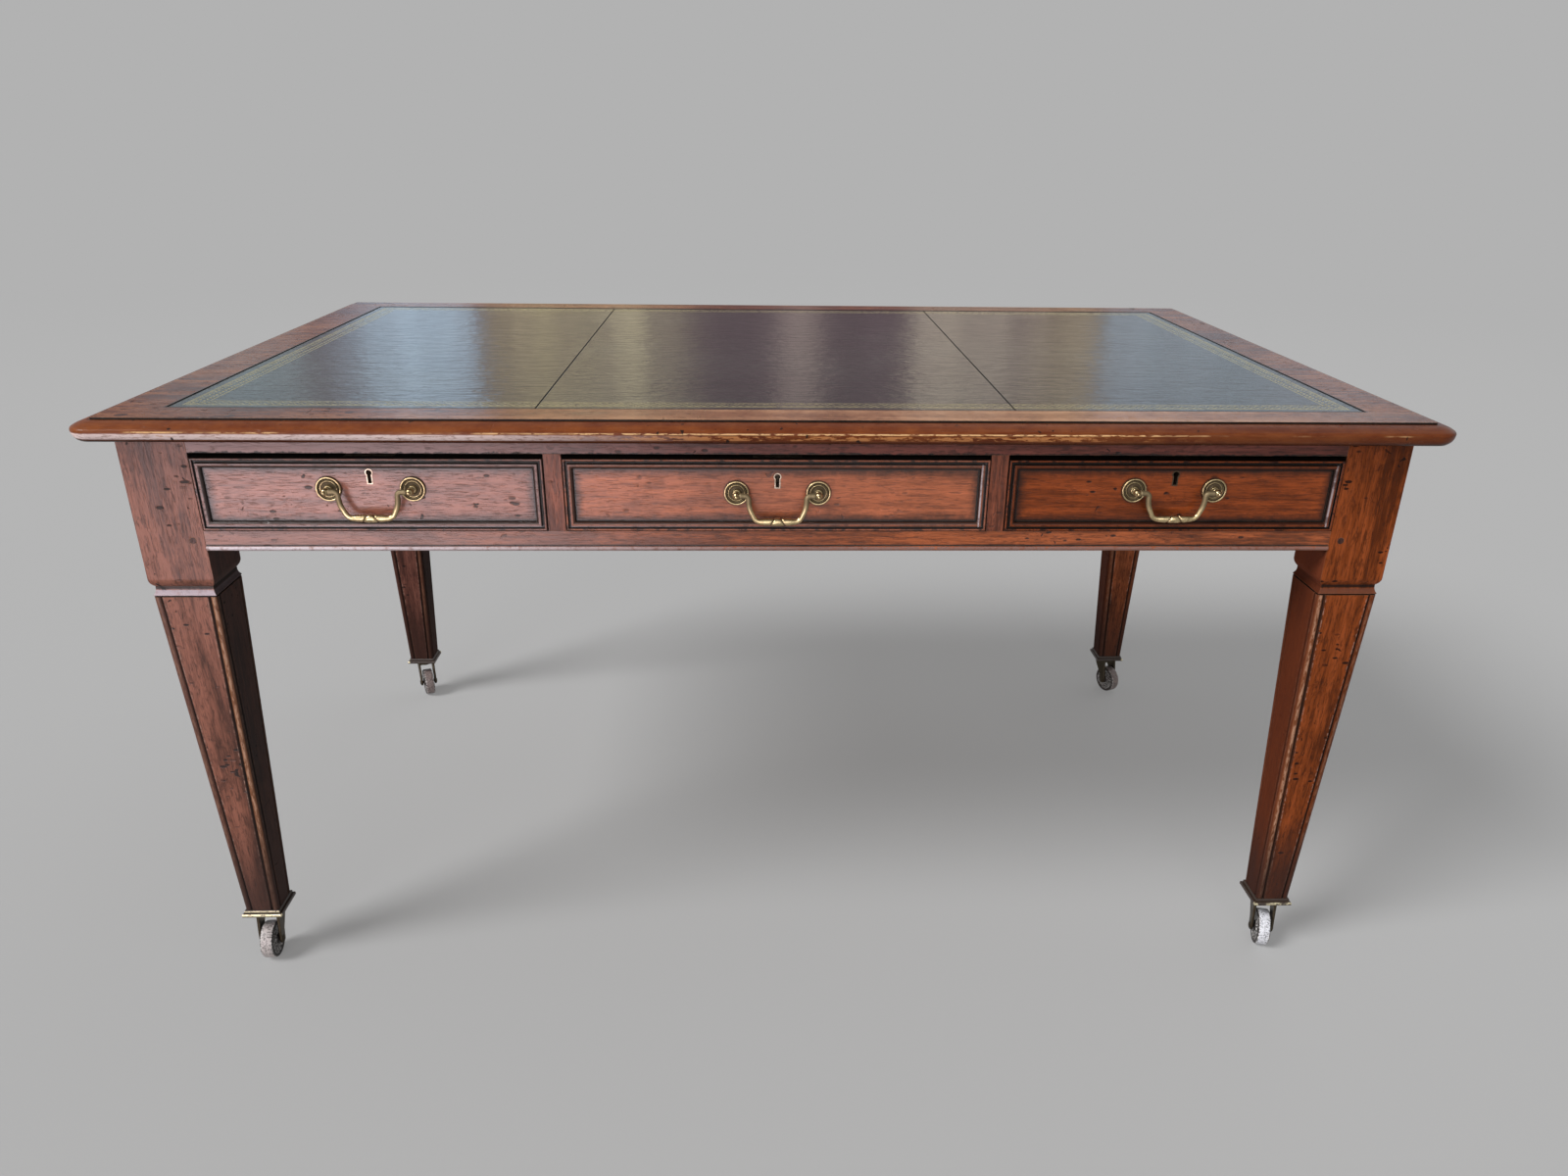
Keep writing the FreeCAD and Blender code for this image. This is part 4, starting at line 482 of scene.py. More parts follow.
def top_wood():
    """The moulded top: red-brown polish on the flat, orange nosing with rubbed lines and painted highlights
    along its widest line, and painted shade under it and at the foot of its step.
    """
    look = Look("top_mahogany")
    figured_wood(look, "x", TOP_TONES, (0.3, 0.1, 0.7), 0.8)
    x, y, z = look.axes()
    inset = inside(look, x, y, TOP_HIGH)
    patch = look.noise(look.moved((1, 1, 3)), 24.0, 4.0, 0.7)
    ragged = look.noise(look.place, 160.0, 3.0, 0.7)
    nosing = look.range(inset, NOSING_STEP - 0.0005, NOSING_STEP - 0.0012)
    warm = look.ramp(look.more(look.times(look.broad, 0.5), patch, 0.5), NOSING_TONES)
    look.paint(warm, nosing, 0.9)
    look.paint(SHADED_NOSING, nosing, look.range(x, 0.05, 0.6, 0.0, 0.3))
    nosing_wear_and_highlights(look, nosing, x, look.minus(z, TOP_LOW.z))
    # Painted shadow: a dark line at the foot of the small step down from the flat
    line = look.near(inset, NOSING_STEP - 0.0006, 0.0007, 0.0009)
    look.paint(DIRT_AND_SHADE, line, look.range(ragged, 0.25, 0.45, 0.55, 1.0), 0.95)
    # A pale line along the arris of the flat: rubbed wood with a painted highlight
    arris = look.near(inset, NOSING_STEP + 0.0012, 0.0003, 0.0009)
    look.paint(TOP_ARRIS_WEAR_AND_HIGHLIGHT, arris, look.range(ragged, 0.42, 0.58), 0.6)
    strip = look.all_of(
        look.math("LESS_THAN", y, -SKIN_HIGH.y),
        look.range(inset, NOSING_STEP, NOSING_STEP + 0.002),
        look.range(look.size(look.minus(x, 0.22)), 0.75, 0.15),
        look.range(patch, 0.3, 0.62, 0.35, 0.9),
    )
    look.paint(look.mix(look.range(look.broad, 0.36, 0.64), *FADED_STRIP), strip)
    for plug_x, plug_y, radius in PLUGS:
        spot = look.add("VectorMath", {0: look.place, 1: (plug_x, plug_y, TOP_HIGH.z)}, operation="DISTANCE")
        away = look.more(spot.outputs["Value"], ragged, 0.003)
        look.paint(PLUG_COLOUR, look.range(away, radius + 0.0016, radius), 0.75)
    look.paint(DIRT_AND_SHADE, look.near(inside(look, x, y, SKIN_HIGH), 0.0, 0.0008, 0.0016), 0.9)
    return polished(look, rough=0.24, wear=0.15, gloss=0.14)


# ---------- leather, brass, castor materials

LEATHER_TONES = ((0.38, (0.005, 0.007, 0.005)), (0.5, (0.014, 0.018, 0.014)), (0.64, (0.052, 0.06, 0.048)))
GILT = (0.62, 0.54, 0.26)
BLACK_JOINT = (0.003, 0.003, 0.003)
SKIN_JOINT = 0.274
# Gilt border, measured inwards from the leather's edge: fillets with half their width, zigzag and leaf row
FILLETS = ((0.0135, 0.0008), (0.0345, 0.0008), (0.016, 0.0005))
ZIGZAG_FROM, LEAF_FROM, LEAF_ROW = 0.0181, 0.0305, 0.0283
TOOL_STEP = 0.0042


def gilt_border(look, inset, along):
    """Mask of the tooled border."""
    gilt = 0.0
    for middle, half in FILLETS:
        gilt = look.larger(gilt, look.near(inset, middle, half, 0.0003))
    zigzag = look.more(ZIGZAG_FROM, look.math("PINGPONG", along, TOOL_STEP), 1.0)
    gilt = look.larger(gilt, look.near(inset, zigzag, 0.0009, 0.0005))
    shifted = look.math("PINGPONG", look.math("ADD", along, TOOL_STEP), TOOL_STEP)
    leaf = look.near(inset, look.more(LEAF_FROM, shifted, -1.0), 0.0009, 0.0007)
    gilt = look.larger(gilt, look.times(leaf, look.near(inset, LEAF_ROW, 0.0026, 0.0003)))
    worn = look.range(look.noise(look.place, 85.0, 3.0, 0.7), 0.3, 0.62, 0.35, 1.0)
    return look.times(look.times(gilt, worn), 0.75)


def tooled_leather():
    """Dark green skins: fine grain drawn out along the desk, black joints and a gilt border."""
    look = Look("green_leather")
    x, y, _ = look.axes()
    across, deep = look.size(x), look.size(y)
    cells = look.add("TexVoronoi", {"Vector": look.moved((1, 1, 0.2)), "Scale": 620.0}, feature="F1")
    crease = look.noise(look.moved((0.06, 1.0, 1)), 110.0, 4.0, 0.6, 0.3)
    cloud = look.noise(look.place, 3.2, 5.0, 0.62, 0.4)
    wrinkle = look.noise(look.moved((0.1, 1.0, 1)), 190.0, 4.0, 0.7, 0.3)
    speckle = look.noise(look.moved((0.6, 1.0, 1)), 260.0, 4.0, 0.7)
    ripple = look.noise(look.moved((0.5, 1.0, 1)), 58.0, 3.0, 0.6, 0.4)
    look.colour = look.ramp(look.more(look.times(cloud, 0.45), speckle, 0.55), LEATHER_TONES)
    side, front = look.minus(SKIN_HIGH.x, across), look.minus(SKIN_HIGH.y, deep)
    inset = look.smaller(side, front)
    along = look.mix(look.math("LESS_THAN", side, front), x, y)
    gilt = gilt_border(look, inset, look.add("SeparateColor", {0: along}).outputs[0])
    dark = look.larger(look.near(across, SKIN_JOINT, 0.0005, 0.0006), look.range(inset, 0.0035, 0.0008))
    look.paint(GILT, gilt)
    look.paint(BLACK_JOINT, dark)
    rough = look.more(look.times(wrinkle, 0.2), ripple, 0.06)
    rough = look.more(rough, gilt, 0.35)
    rough = look.more(rough, dark, 0.8, clamp=True)
    look.finish(rough, look.larger(dark, look.times(gilt, 0.8)), 0.36)
    height = look.more(look.times(cells.outputs["Distance"], 0.03), wrinkle, 0.25)
    height = look.more(height, crease, 0.35)
    height = look.more(height, ripple, 0.75)
    height = look.more(height, dark, -0.4)
    look.bump(height, 0.003, 0.5)
    return look.material


ROSE_OFFSET = 46.75 * MM
# Dark grooves between the rings of a rose: radius and half their width
ROSE_GROOVES = ((0.0066, 0.0016), (0.0114, 0.0006))


def aged_brass(name, bright=(0.6, 0.47, 0.26), brown=(0.06, 0.038, 0.018), dirt=1.0, rough=0.26,
               rings=None, brown_from=None):
    """Brass, bright where it is rubbed, brown in hollows, in the grooves round rings, or higher up."""
    look = Look(name)
    cloud = look.noise(look.place, 190.0, 4.0, 0.65)
    stain = look.range(cloud, 0.42, 0.66, 0.0, 0.4)
    dirty = look.times(look.range(look.hollow(0.005), 0.14, 0.48), dirt, clamp=True)
    if rings:
        x, _, z = look.axes(look.about(rings))
        x = look.minus(look.size(x), ROSE_OFFSET)
        radius = look.math("SQRT", look.math("ADD", look.times(x, x), look.times(z, z)))
        for where, half in ROSE_GROOVES:
            dirty = look.larger(dirty, look.times(look.near(radius, where, half, 0.0006), 0.95))
    if brown_from:
        higher = look.range(look.axes()[2], brown_from, brown_from + 0.016, 0.0, 0.72)
        dirty = look.larger(dirty, higher)
    dull = look.more(look.more(rough - 0.05, cloud, 0.16), dirty, 0.35)
    look.colour = look.mix(look.larger(stain, dirty), bright, brown)
    look.finish(dull, look.range(dirty, 0.0, 1.0, 1.0, 0.55))
    look.bump(look.noise(look.place, 420.0, 3.0, 0.6), 0.0002, 0.25, radius=0.0003)
    return look.material


# Castor plate: heights of its two rubbed edges, and where its outward faces begin
PLATE_EDGE, PLATE_STEP = 0.0735, 0.078
PLATE_OUT_X, PLATE_OUT_Y = 0.7115, 0.4195
RUBBED_BRASS = (0.85, 0.76, 0.5)


def castor_plate():
    """Brass plate blackened with polish, its lower edge rubbed bright in broken lengths."""
    look = Look("castor_plate_brass")
    x, y, z = look.axes()
    patch = look.noise(look.place, 90.0, 4.0, 0.7)
    ragged = look.noise(look.place, 330.0, 3.0, 0.7)
    upper = look.times(look.near(z, PLATE_STEP, 0.0006, 0.0006), look.range(x, 0.2, -0.2))
    level = look.larger(look.near(z, PLATE_EDGE, 0.0012, 0.0008), upper)
    rubbed = look.more(patch, look.range(x, 0.3, -0.3), 0.22)
    outer = look.larger(look.range(look.size(x), PLATE_OUT_X, PLATE_OUT_X + MM),
                        look.range(look.size(y), PLATE_OUT_Y, PLATE_OUT_Y + MM))
    bright = look.all_of(level, look.range(rubbed, 0.47, 0.6), look.range(ragged, 0.36, 0.46), outer)
    look.colour = look.mix(ragged, (0.012, 0.008, 0.007), (0.06, 0.036, 0.024))
    look.paint(RUBBED_BRASS, bright)
    look.finish(0.34, look.times(bright, 0.85))
    look.bump(ragged, 0.0003, 0.4)
    return look.material


WHEEL_HALF = 8.4 * MM
WHEEL_TREAD_FROM = 0.0232
RIM_HIGHLIGHT = (0.75, 0.72, 0.7)


def worn_wheel(name, tread, side, centre, turn):
    """Ceramic castor wheel: scuffed pale tread, dark sides, painted highlights along the rims."""
    look = Look(name)
    x, y, z = look.axes(look.moved(turn=(0, 0, -turn), vector=look.about(centre)))
    radius = look.math("SQRT", look.math("ADD", look.times(y, y), look.times(z, z)))
    ragged = look.noise(look.place, 420.0, 4.0, 0.7)
    outer = look.range(look.more(radius, ragged, 0.0012), WHEEL_TREAD_FROM, WHEEL_TREAD_FROM + MM)
    away = look.more(look.size(x), ragged, 0.0016)
    outer = look.times(outer, look.range(away, WHEEL_HALF - 0.0004, WHEEL_HALF - 0.0012))
    scuff = look.ramp(ragged, [(0.4, toned(tread, 0.35)), (0.49, tread), (0.6, toned(tread, 1.3))])
    look.colour = look.mix(ragged, side, toned(side, 1.8))
    look.paint(scuff, outer)
    # Painted highlight along each rim of the tread
    rim = look.near(look.size(x), WHEEL_HALF - 0.0014, 0.0004, 0.0007)
    look.paint(RIM_HIGHLIGHT, rim, look.range(ragged, 0.47, 0.6), 0.8)
    look.finish(look.range(ragged, 0.3, 0.7, 0.32, 0.6))
    look.bump(ragged, 0.0004, 0.5)
    return look.material


def plain_wood(name, tones):
    """Unpolished drawer linings and inner frame."""
    look = Look(name)
    figured_wood(look, "y", tones, (0.2, 0.5, 0.3), 0.4)
    # Painted shade: darker in the hollows of the linings and inner frame
    look.paint(DIRT_AND_SHADE, look.range(look.hollow(0.02), 0.4, 0.95, 0.0, 0.7))
    look.finish(look.more(0.6, look.broad, 0.1))
    look.bump(look.height, 0.0004, 0.6)
    return look.material


def dull_steel():
    look = Look("old_steel")
    rust = look.noise(look.place, 260.0, 4.0, 0.7)
    look.colour = look.ramp(rust, [(0.35, (0.1, 0.05, 0.03)), (0.6, (0.28, 0.26, 0.25))])
    look.finish(look.range(rust, 0.3, 0.7, 0.75, 0.4), 0.8)
    look.bump(rust, 0.0003, 0.4)
    return look.material


# ---------- mesh building

def mesh_object(name, points, faces, material, smooth=40):
    """A shaded mesh in the scene. Edges sharper than smooth degrees stay sharp."""
    mesh = bpy.data.meshes.new(name)
    mesh.from_pydata([tuple(point) for point in points], [], faces)
    mesh.update()
    mesh.shade_smooth()
    mesh.set_sharp_from_angle(angle=math.radians(smooth))
    mesh.materials.append(material)
    item = bpy.data.objects.new(name, mesh)
    bpy.context.scene.collection.objects.link(item)
    return item


def fix_normals(item):
    work = bmesh.new()
    work.from_mesh(item.data)
    bmesh.ops.recalc_face_normals(work, faces=work.faces)
    work.to_mesh(item.data)
    work.free()


def ring_faces(rings, steps, capped=True):
    """Faces between rings of points that follow each other, and over the first and the last ring."""
    faces = []
    for ring in range(rings - 1):
        for step in range(steps):
            after = (step + 1) % steps
            low, high = ring * steps, (ring + 1) * steps
            faces.append((low + step, low + after, high + after, high + step))
    if capped:
        faces.append(tuple(reversed(range(steps))))
        faces.append(tuple(range((rings - 1) * steps, rings * steps)))
    return faces


def lathe(profile, axis_frame, steps, capped=True):
    """Points and faces of a turned shape: pairs of radius and height, with height along the frame's Z."""
    points = []
    for radius, height in profile:
        for step in range(steps):
            angle = 2 * math.pi * step / steps
            points.append(axis_frame @ Vector((radius * math.cos(angle), radius * math.sin(angle), height)))
    return points, ring_faces(len(profile), steps, capped)


def joined(*shapes):
    """One set of points and faces from several."""
    points, faces = [], []
    for some_points, some_faces in shapes:
        start = len(points)
        points += some_points
        faces += [tuple(start + index for index in face) for face in some_faces]
    return points, faces


def arc(centre, radius, start, end, steps):
    """Points on a circle, angles in degrees."""
    angles = [math.radians(start + (end - start) * step / steps) for step in range(steps + 1)]
    return [(centre[0] + radius * math.cos(angle), centre[1] + radius * math.sin(angle)) for angle in angles]


def in_metres(profile):
    """A profile in millimetres, kept off the axis so that no two points meet there."""
    return [(max(radius, 0.00001) * MM, height * MM) for radius, height in profile]


def outward(point, sign):
    """Frame at a point whose Z runs out of a drawer front and whose Y is up."""
    z = Vector((0, sign, 0))
    y = Vector((0, 0, 1))
    return Matrix.Translation(point) @ Matrix((y.cross(z), y, z)).transposed().to_4x4()


# ---------- handles, in millimetres from the drawer's field

FIELD_DEPTH = 434
ROSE_PROFILE = (
    [(14.1, 0.0), (14.1, 1.0)]
    + arc((13.1, 2.1), 1.1, 0, 180, 8)
    + [(11.8, 1.3), (11.5, 1.2)]
    + arc((10.9, 1.7), 0.6, 0, 180, 6)
    + [(10.1, 1.1), (9.7, 0.9)]
    + arc((9.2, 1.3), 0.5, 0, 180, 5)
    + [(8.6, 0.9), (7.4, 0.55), (6.2, 0.6), (5.4, 1.0), (4.7, 1.9), (4.3, 3.0)]
    + arc((3.5, 3.4), 0.8, 0, 90, 4)
)
POST_PROFILE = (
    [(2.5, 0.2), (2.5, 5.2), (3.1, 5.8), (3.1, 6.6), (2.3, 7.3), (2.1, 8.6), (2.6, 9.5)]
    + arc((0.0, 13.6), 4.35, -64, 58, 12)
    + [(2.0, 17.6), (1.9, 18.0)]
    + arc((0.0, 18.9), 2.05, -20, 88, 6)
)
NUT_PROFILE = [(5.6, -25.0), (6.0, -24.6), (6.0, -21.4), (5.6, -21.0)]


def make_roses(drawer, sign, material):
    """Both backplates, posts and nuts of one handle."""
    pivot = PIVOTS[f"{drawer}_bail_swing"]
    shapes = []
    for side in (-1, 1):
        foot = outward(Vector((pivot.x + side * ROSE_OFFSET, sign * FIELD_DEPTH * MM, pivot.z)), sign)
        for profile, steps in ((ROSE_PROFILE, 56), (POST_PROFILE, 32), (NUT_PROFILE, 6)):
            shapes.append(lathe(in_metres(profile), foot, steps))
    piece = mesh_object(f"{drawer}_turned_roses", *joined(*shapes), material)
    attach(piece, drawer)
    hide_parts(f"{drawer}_roses")


# Share of the drawn drop that a bail keeps, so that it stays inside the solid's box
DROP_SHARE = 0.93


def bail_line():
    """Middle line of a bail in X and Z from its pivot, from the left shoulder to the right one."""
    half = [(-45.6, 0.0), (-44.6, 0.0), (-42.5, 0.0), (-41.2, 0.05), (-39.8, 0.2), (-38.2, 0.1)]
    half += arc((-37.2, -4.3), 4.4, 90, -6, 8)
    half += [(-32.7, -9.5), (-32.1, -14.0), (-30.9, -18.5), (-29.2, -22.4)]
    half += [(-18.6 - 9.2 * math.cos(angle), -24.0 - 8.6 * math.sin(angle))
             for angle in (math.radians(degrees) for degrees in range(20, 91, 10))]
    half += [(-15.6, -32.6), (-12.5, -32.7), (-10.0, -32.7), (-8.6, -32.7)]
    half += [(-7.8 + 0.6 * step, -32.6) for step in range(13)]
    whole = half + [(0.0, -32.6)] + [(-x, z) for x, z in reversed(half)]
    return [(x, z * DROP_SHARE) for x, z in whole]


def bail_radius(x, down):
    """Thickness of the bail at x; down is -1 at the top of the section and 1 at its foot."""
    away = abs(x)
    if away > 44.6:
        return 1.3
    if away > 42.5:
        return 1.3 + 1.5 * (44.6 - away) / 2.1
    if away > 41.1:
        return 3.4
    if away > 28.0:
        return 3.05
    cut = away - 2.4 * down
    if cut < 5.4:
        return 4.9 - 0.02 * cut * cut
    if cut < 6.2:
        return 4.4 - 1.9 * (cut - 5.4) / 0.8
    if cut < 7.2:
        return 2.5 + 1.6 * (cut - 6.2)
    swell = max(0.0, min(1.0, (26.0 - away) / 16.0))
    return 3.05 + 1.25 * swell * swell * (3 - 2 * swell)


def make_bail(drawer, sign, material):
    """A cast swan-neck bail with a cut block in the middle of its grip."""
    pivot = PIVOTS[f"{drawer}_bail_swing"]
    line = [Vector((x, 0, z)) for x, z in bail_line()]
    steps = 20
    points = []
    for index, here in enumerate(line):
        ahead = line[min(index + 1, len(line) - 1)] - line[max(index - 1, 0)]
        ahead.normalize()
        side = Vector((0, 1, 0)).cross(ahead)
        for step in range(steps):
            angle = 2 * math.pi * step / steps
            normal = side * math.cos(angle) + Vector((0, sign, 0)) * math.sin(angle)
            radius = bail_radius(here.x, -normal.z if abs(here.x) < 13 else 0.0)
            points.append(pivot + (here + normal * radius) * MM)
    piece = mesh_object(f"{drawer}_cast_bail", points, ring_faces(len(line), steps), material, 50)
    fix_normals(piece)
    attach(piece, f"{drawer}_bail")
    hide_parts(f"{drawer}_bail")


# ---------- castors, in millimetres from the pivot on the floor

AXLE_BACK, AXLE_HEIGHT = -12, 25
HORN_INNER, HORN_OUTER = 11.4, 15.0
CROWN_HALF = 12.2
CROWN = [(-12.6, 62.4), (12.6, 62.4), (13.0, 64.0), (13.0, 69.0),
         (12.0, 70.5), (-12.0, 70.5), (-13.0, 69.0), (-13.0, 64.0)]
# The axle: rivet head, washer, pin between the horns, washer, rivet head
AXLE = [(1.0, -16.4), (3.0, -16.2), (4.6, -15.4), (4.6, -15.0), (3.0, -15.0),
        (3.0, 15.0), (4.6, 15.0), (4.6, 15.4), (3.0, 16.2), (1.0, 16.4)]
WHEEL_STEPS = 72


def slab(outline, start, end, frame_at):
    """A flat piece with its outline in the frame's Y and Z, from start to end along X, edges eased."""
    ease = min(0.9, abs(end - start) / 3)
    count = len(outline)
    centre = Vector((sum(y for y, _ in outline) / count, sum(z for _, z in outline) / count))
    points = []
    for x, inward in ((start, ease), (start + ease, 0.0), (end - ease, 0.0), (end, ease)):
        for y, z in outline:
            away = (Vector((y, z)) - centre).normalized()
            points.append(frame_at @ (Vector((x, y - away.x * inward, z - away.y * inward)) * MM))
    return points, ring_faces(4, count)


def horn_outline():
    """Side view of one arm: broad at the crown, sweeping back and down to the eye of the axle."""
    front = [(-4.0, 34.0), (0.5, 41.5), (5.6, 49.0), (9.8, 55.0), (12.2, 60.5), (13.0, 66.0), (12.0, 70.2)]
    back = [(-12.0, 70.2), (-13.0, 66.0), (-13.4, 60.0), (-14.8, 52.0), (-16.4, 44.0), (-17.9, 35.0)]
    return arc((AXLE_BACK, AXLE_HEIGHT), 6.5, -200, 10, 14) + front + back


def wheel_shape(spin):
    """A wheel with a hub, dished sides and a rounded tread, open along its bore."""
    half = [(3.1, -9.4), (6.6, -9.4), (7.2, -8.9), (7.5, -6.9), (8.4, -6.5)]
    half += [(18.2, -6.6), (19.7, -7.1), (20.5, -8.2), (22.2, -8.4)]
    half += arc((22.6, -6.05), 2.35, -90, -20, 5) + [(24.95, -2.5)]
    profile = half + [(24.98, 0.0)] + [(radius, -height) for radius, height in reversed(half)]
    points, faces = lathe(in_metres(profile), spin, WHEEL_STEPS, capped=False)
    last = len(points) - WHEEL_STEPS
    for step in range(WHEEL_STEPS):
        after = (step + 1) % WHEEL_STEPS
        faces.append((step, after, last + after, last + step))
    return points, faces


def make_castor(corner, tread, side, horn_brass):
    """Horns with their crown and axle, and the wheel between them."""
    swivel = PIVOTS[f"{corner}_castor_swivel"]
    axle = PIVOTS[f"{corner}_wheel_roll"]
    direction = AXES[f"{corner}_wheel_roll"]
    turn = math.atan2(direction.y, direction.x)
    turned = Matrix.Rotation(turn, 4, "Z")
    on_side = Matrix.Rotation(math.pi / 2, 4, "Y")
    at = Matrix.Translation((swivel.x, swivel.y, 0)) @ turned
    along = at @ Matrix.Translation((0, AXLE_BACK * MM, AXLE_HEIGHT * MM)) @ on_side
    outline = horn_outline()
    shapes = [
        slab(outline, -HORN_OUTER, -HORN_INNER, at),
        slab(outline, HORN_INNER, HORN_OUTER, at),
        slab(CROWN, -CROWN_HALF, CROWN_HALF, at),
        lathe(in_metres(AXLE), along, 28),
    ]
    horns = mesh_object(f"{corner}_cast_horns", *joined(*shapes), horn_brass)
    fix_normals(horns)
    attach(horns, f"{corner}_castor")
    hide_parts(f"{corner}_castor_horn")
    material = worn_wheel(f"{corner}_worn_ceramic", tread, side, tuple(axle), turn)
    spin = Matrix.Translation(axle) @ turned @ on_side
    wheel = mesh_object(f"{corner}_turned_wheel", *wheel_shape(spin), material)
    fix_normals(wheel)
    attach(wheel, f"{corner}_wheel")
    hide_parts(f"{corner}_castor_wheel")


# ---------- dressing the frame

# Painted shade of the legs' inner faces
LEFT_INNER_SHADE, RIGHT_INNER_SHADE = (0.008, 0.003, 0.002), (0.09, 0.018, 0.005)
# Painted highlights for the collar's lip
PALE_LIP_HIGHLIGHT, RED_LIP_HIGHLIGHT = (0.5, 0.41, 0.46), (0.13, 0.045, 0.025)
# Painted highlight of the rail beads, pale at the left and brown at the right
RAIL_BEAD_HIGHLIGHTS = ((0.7, 0.6, 0.64), (0.24, 0.12, 0.095))
TOP_RAIL, BOTTOM_RAIL = (0.15, 0.037, 0.025), (0.34, 0.083, 0.023)

# Legs: middle tone of the timber, shift of the grain, painted shade of the inner face, painted highlight of
# the lip, bead, painted glint of the bead, polish
LEGS = {
    # The near left leg's paler, lilac tone is partly painted sheen from the left
    "near_left_leg": ((0.205, 0.073, 0.046), (0.1, 0.2, 0.3), LEFT_INNER_SHADE, PALE_LIP_HIGHLIGHT,
                      (0.19, 0.07, 0.026), 0.85, 0.3),
    "near_right_leg": ((0.2, 0.042, 0.007), (0.7, 0.2, 0.9), RIGHT_INNER_SHADE, RED_LIP_HIGHLIGHT,
                       BROWN_BEAD, 0.85, 0.12),
    "far_left_leg": ((0.115, 0.04, 0.028), (0.5, 0.9, 0.2), LEFT_INNER_SHADE, RED_LIP_HIGHLIGHT,
                     (0.07, 0.024, 0.012), 0.15, 0.12),
    "far_right_leg": ((0.235, 0.062, 0.021), (0.3, 0.6, 0.4), RIGHT_INNER_SHADE, RED_LIP_HIGHLIGHT,
                      (0.11, 0.034, 0.014), 0.25, 0.12),
}
# Rails: middle tone, shift of the grain, painted sheen at the left, painted highlight tones of the bead,
# polish
RAILS = {
    "near_top_rail": (TOP_RAIL, (0.2, 0.4, 0.6), (0.46, 0.29, 0.28), None, 0.3),
    "far_top_rail": (TOP_RAIL, (0.8, 0.4, 0.6), (0.2, 0.1, 0.09), None, 0.3),
    "near_bottom_rail": (BOTTOM_RAIL, (0.4, 0.7, 0.1), (0.28, 0.175, 0.165), RAIL_BEAD_HIGHLIGHTS, 0.4),
    "far_bottom_rail": (BOTTOM_RAIL, (0.9, 0.7, 0.5), (0.26, 0.15, 0.13), RAIL_BEAD_HIGHLIGHTS, 0.4),
}
# Plain boards: name of the material, direction of the grain, middle tone, shift of the grain
BOARDS = {
    "left_apron": ("left_apron_mahogany", "y", (0.2, 0.056, 0.028), (0.6, 0.3, 0.8)),
    "right_apron": ("right_apron_mahogany", "y", (0.2, 0.052, 0.02), (0.1, 0.8, 0.5)),
    "drawer_dividers": ("divider_mahogany", "z", (0.22, 0.058, 0.027), (0.3, 0.3, 0.3)),
    "tenon_pegs": ("peg_mahogany", "y", (0.06, 0.018, 0.01), (0.5, 0.5, 0.9)),
}
# Drawer fronts: middle tone, shift of the grain, amount of dents and stains, polish
FRONTS = {
    # The near left front's paler, lilac tone is partly painted sheen from the left
    "near_left_drawer_front": ((0.29, 0.095, 0.058), (0.15, 0.35, 0.75), 1.2, 0.6),
    "near_centre_drawer_front": ((0.43, 0.115, 0.044), (0.55, 0.15, 0.25), 0.6, 0.5),
    "near_right_drawer_front": ((0.285, 0.057, 0.011), (0.85, 0.65, 0.45), 1.0, 0.22),
    "far_left_drawer_front": ((0.27, 0.066, 0.028), (0.25, 0.95, 0.15), 1.0, 0.4),
    "far_centre_drawer_front": ((0.35, 0.088, 0.034), (0.65, 0.75, 0.35), 0.8, 0.4),
    "far_right_drawer_front": ((0.26, 0.06, 0.02), (0.95, 0.55, 0.05), 1.0, 0.4),
}
# Castors: colour of the tread, colour of the sides
CASTORS = {
    "near_left": ((0.42, 0.37, 0.36), (0.011, 0.008, 0.007)),
    "near_right": ((0.62, 0.62, 0.66), (0.011, 0.008, 0.007)),
    "far_left": ((0.22, 0.17, 0.16), (0.025, 0.017, 0.015)),
    "far_right": ((0.2, 0.16, 0.15), (0.022, 0.015, 0.013)),
}

LOOKS = {}
for wood, recipes in ((leg_wood, LEGS), (rail_wood, RAILS), (front_wood, FRONTS)):
    for board, (middle, *recipe) in recipes.items():
        LOOKS[board] = wood(board, timber(middle), *recipe)
for board, recipe in BOARDS.items():
    LOOKS[board] = mahogany(*recipe)
LOOKS["top_board"] = top_wood()
LININGS = plain_wood("drawer_oak", ((0.16, 0.088, 0.045), (0.29, 0.175, 0.095), (0.4, 0.26, 0.15)))
INNER_FRAME = plain_wood("frame_oak", ((0.07, 0.035, 0.02), (0.14, 0.075, 0.04), (0.2, 0.11, 0.06)))
LOOKS["centre_bearer"] = INNER_FRAME
LOOKS["writing_leathers"] = tooled_leather()
BRASS = aged_brass("handle_brass", brown_from=PIVOTS["near_left_drawer_bail_swing"].z - 0.027)
LOCK_BRASS = aged_brass("lock_brass", (0.56, 0.47, 0.37), (0.12, 0.08, 0.05), dirt=0.9, rough=0.4)
# Painted shade: the near right drawer's keyhole lining is made dark, so the keyhole reads as a dark hole
KEYHOLE_SHADE_BRASS = aged_brass("keyhole_shade_brass", (0.1, 0.07, 0.045), (0.03, 0.02, 0.012), rough=0.5)
LOOKS["near_right_drawer_lock"] = KEYHOLE_SHADE_BRASS
LOOKS["castor_plates"] = castor_plate()
HORN_BRASS = aged_brass("castor_horn_brass", (0.075, 0.06, 0.04), (0.02, 0.014, 0.01), 1.4, 0.38)
LOOKS["top_fixing_screws"] = dull_steel()


def look_of(node):
    """Material of one node of the frame."""
    if node in LOOKS:
        return LOOKS[node]
    if node.endswith("_box"):
        return LININGS
    if node.endswith("_lock"):
        return LOCK_BRASS
    if node.startswith("drawer_"):
        return INNER_FRAME
    return BRASS


for node_name, item in frame["nodes"].items():
    for holder in item.material_slots:
        holder.material = look_of(node_name)

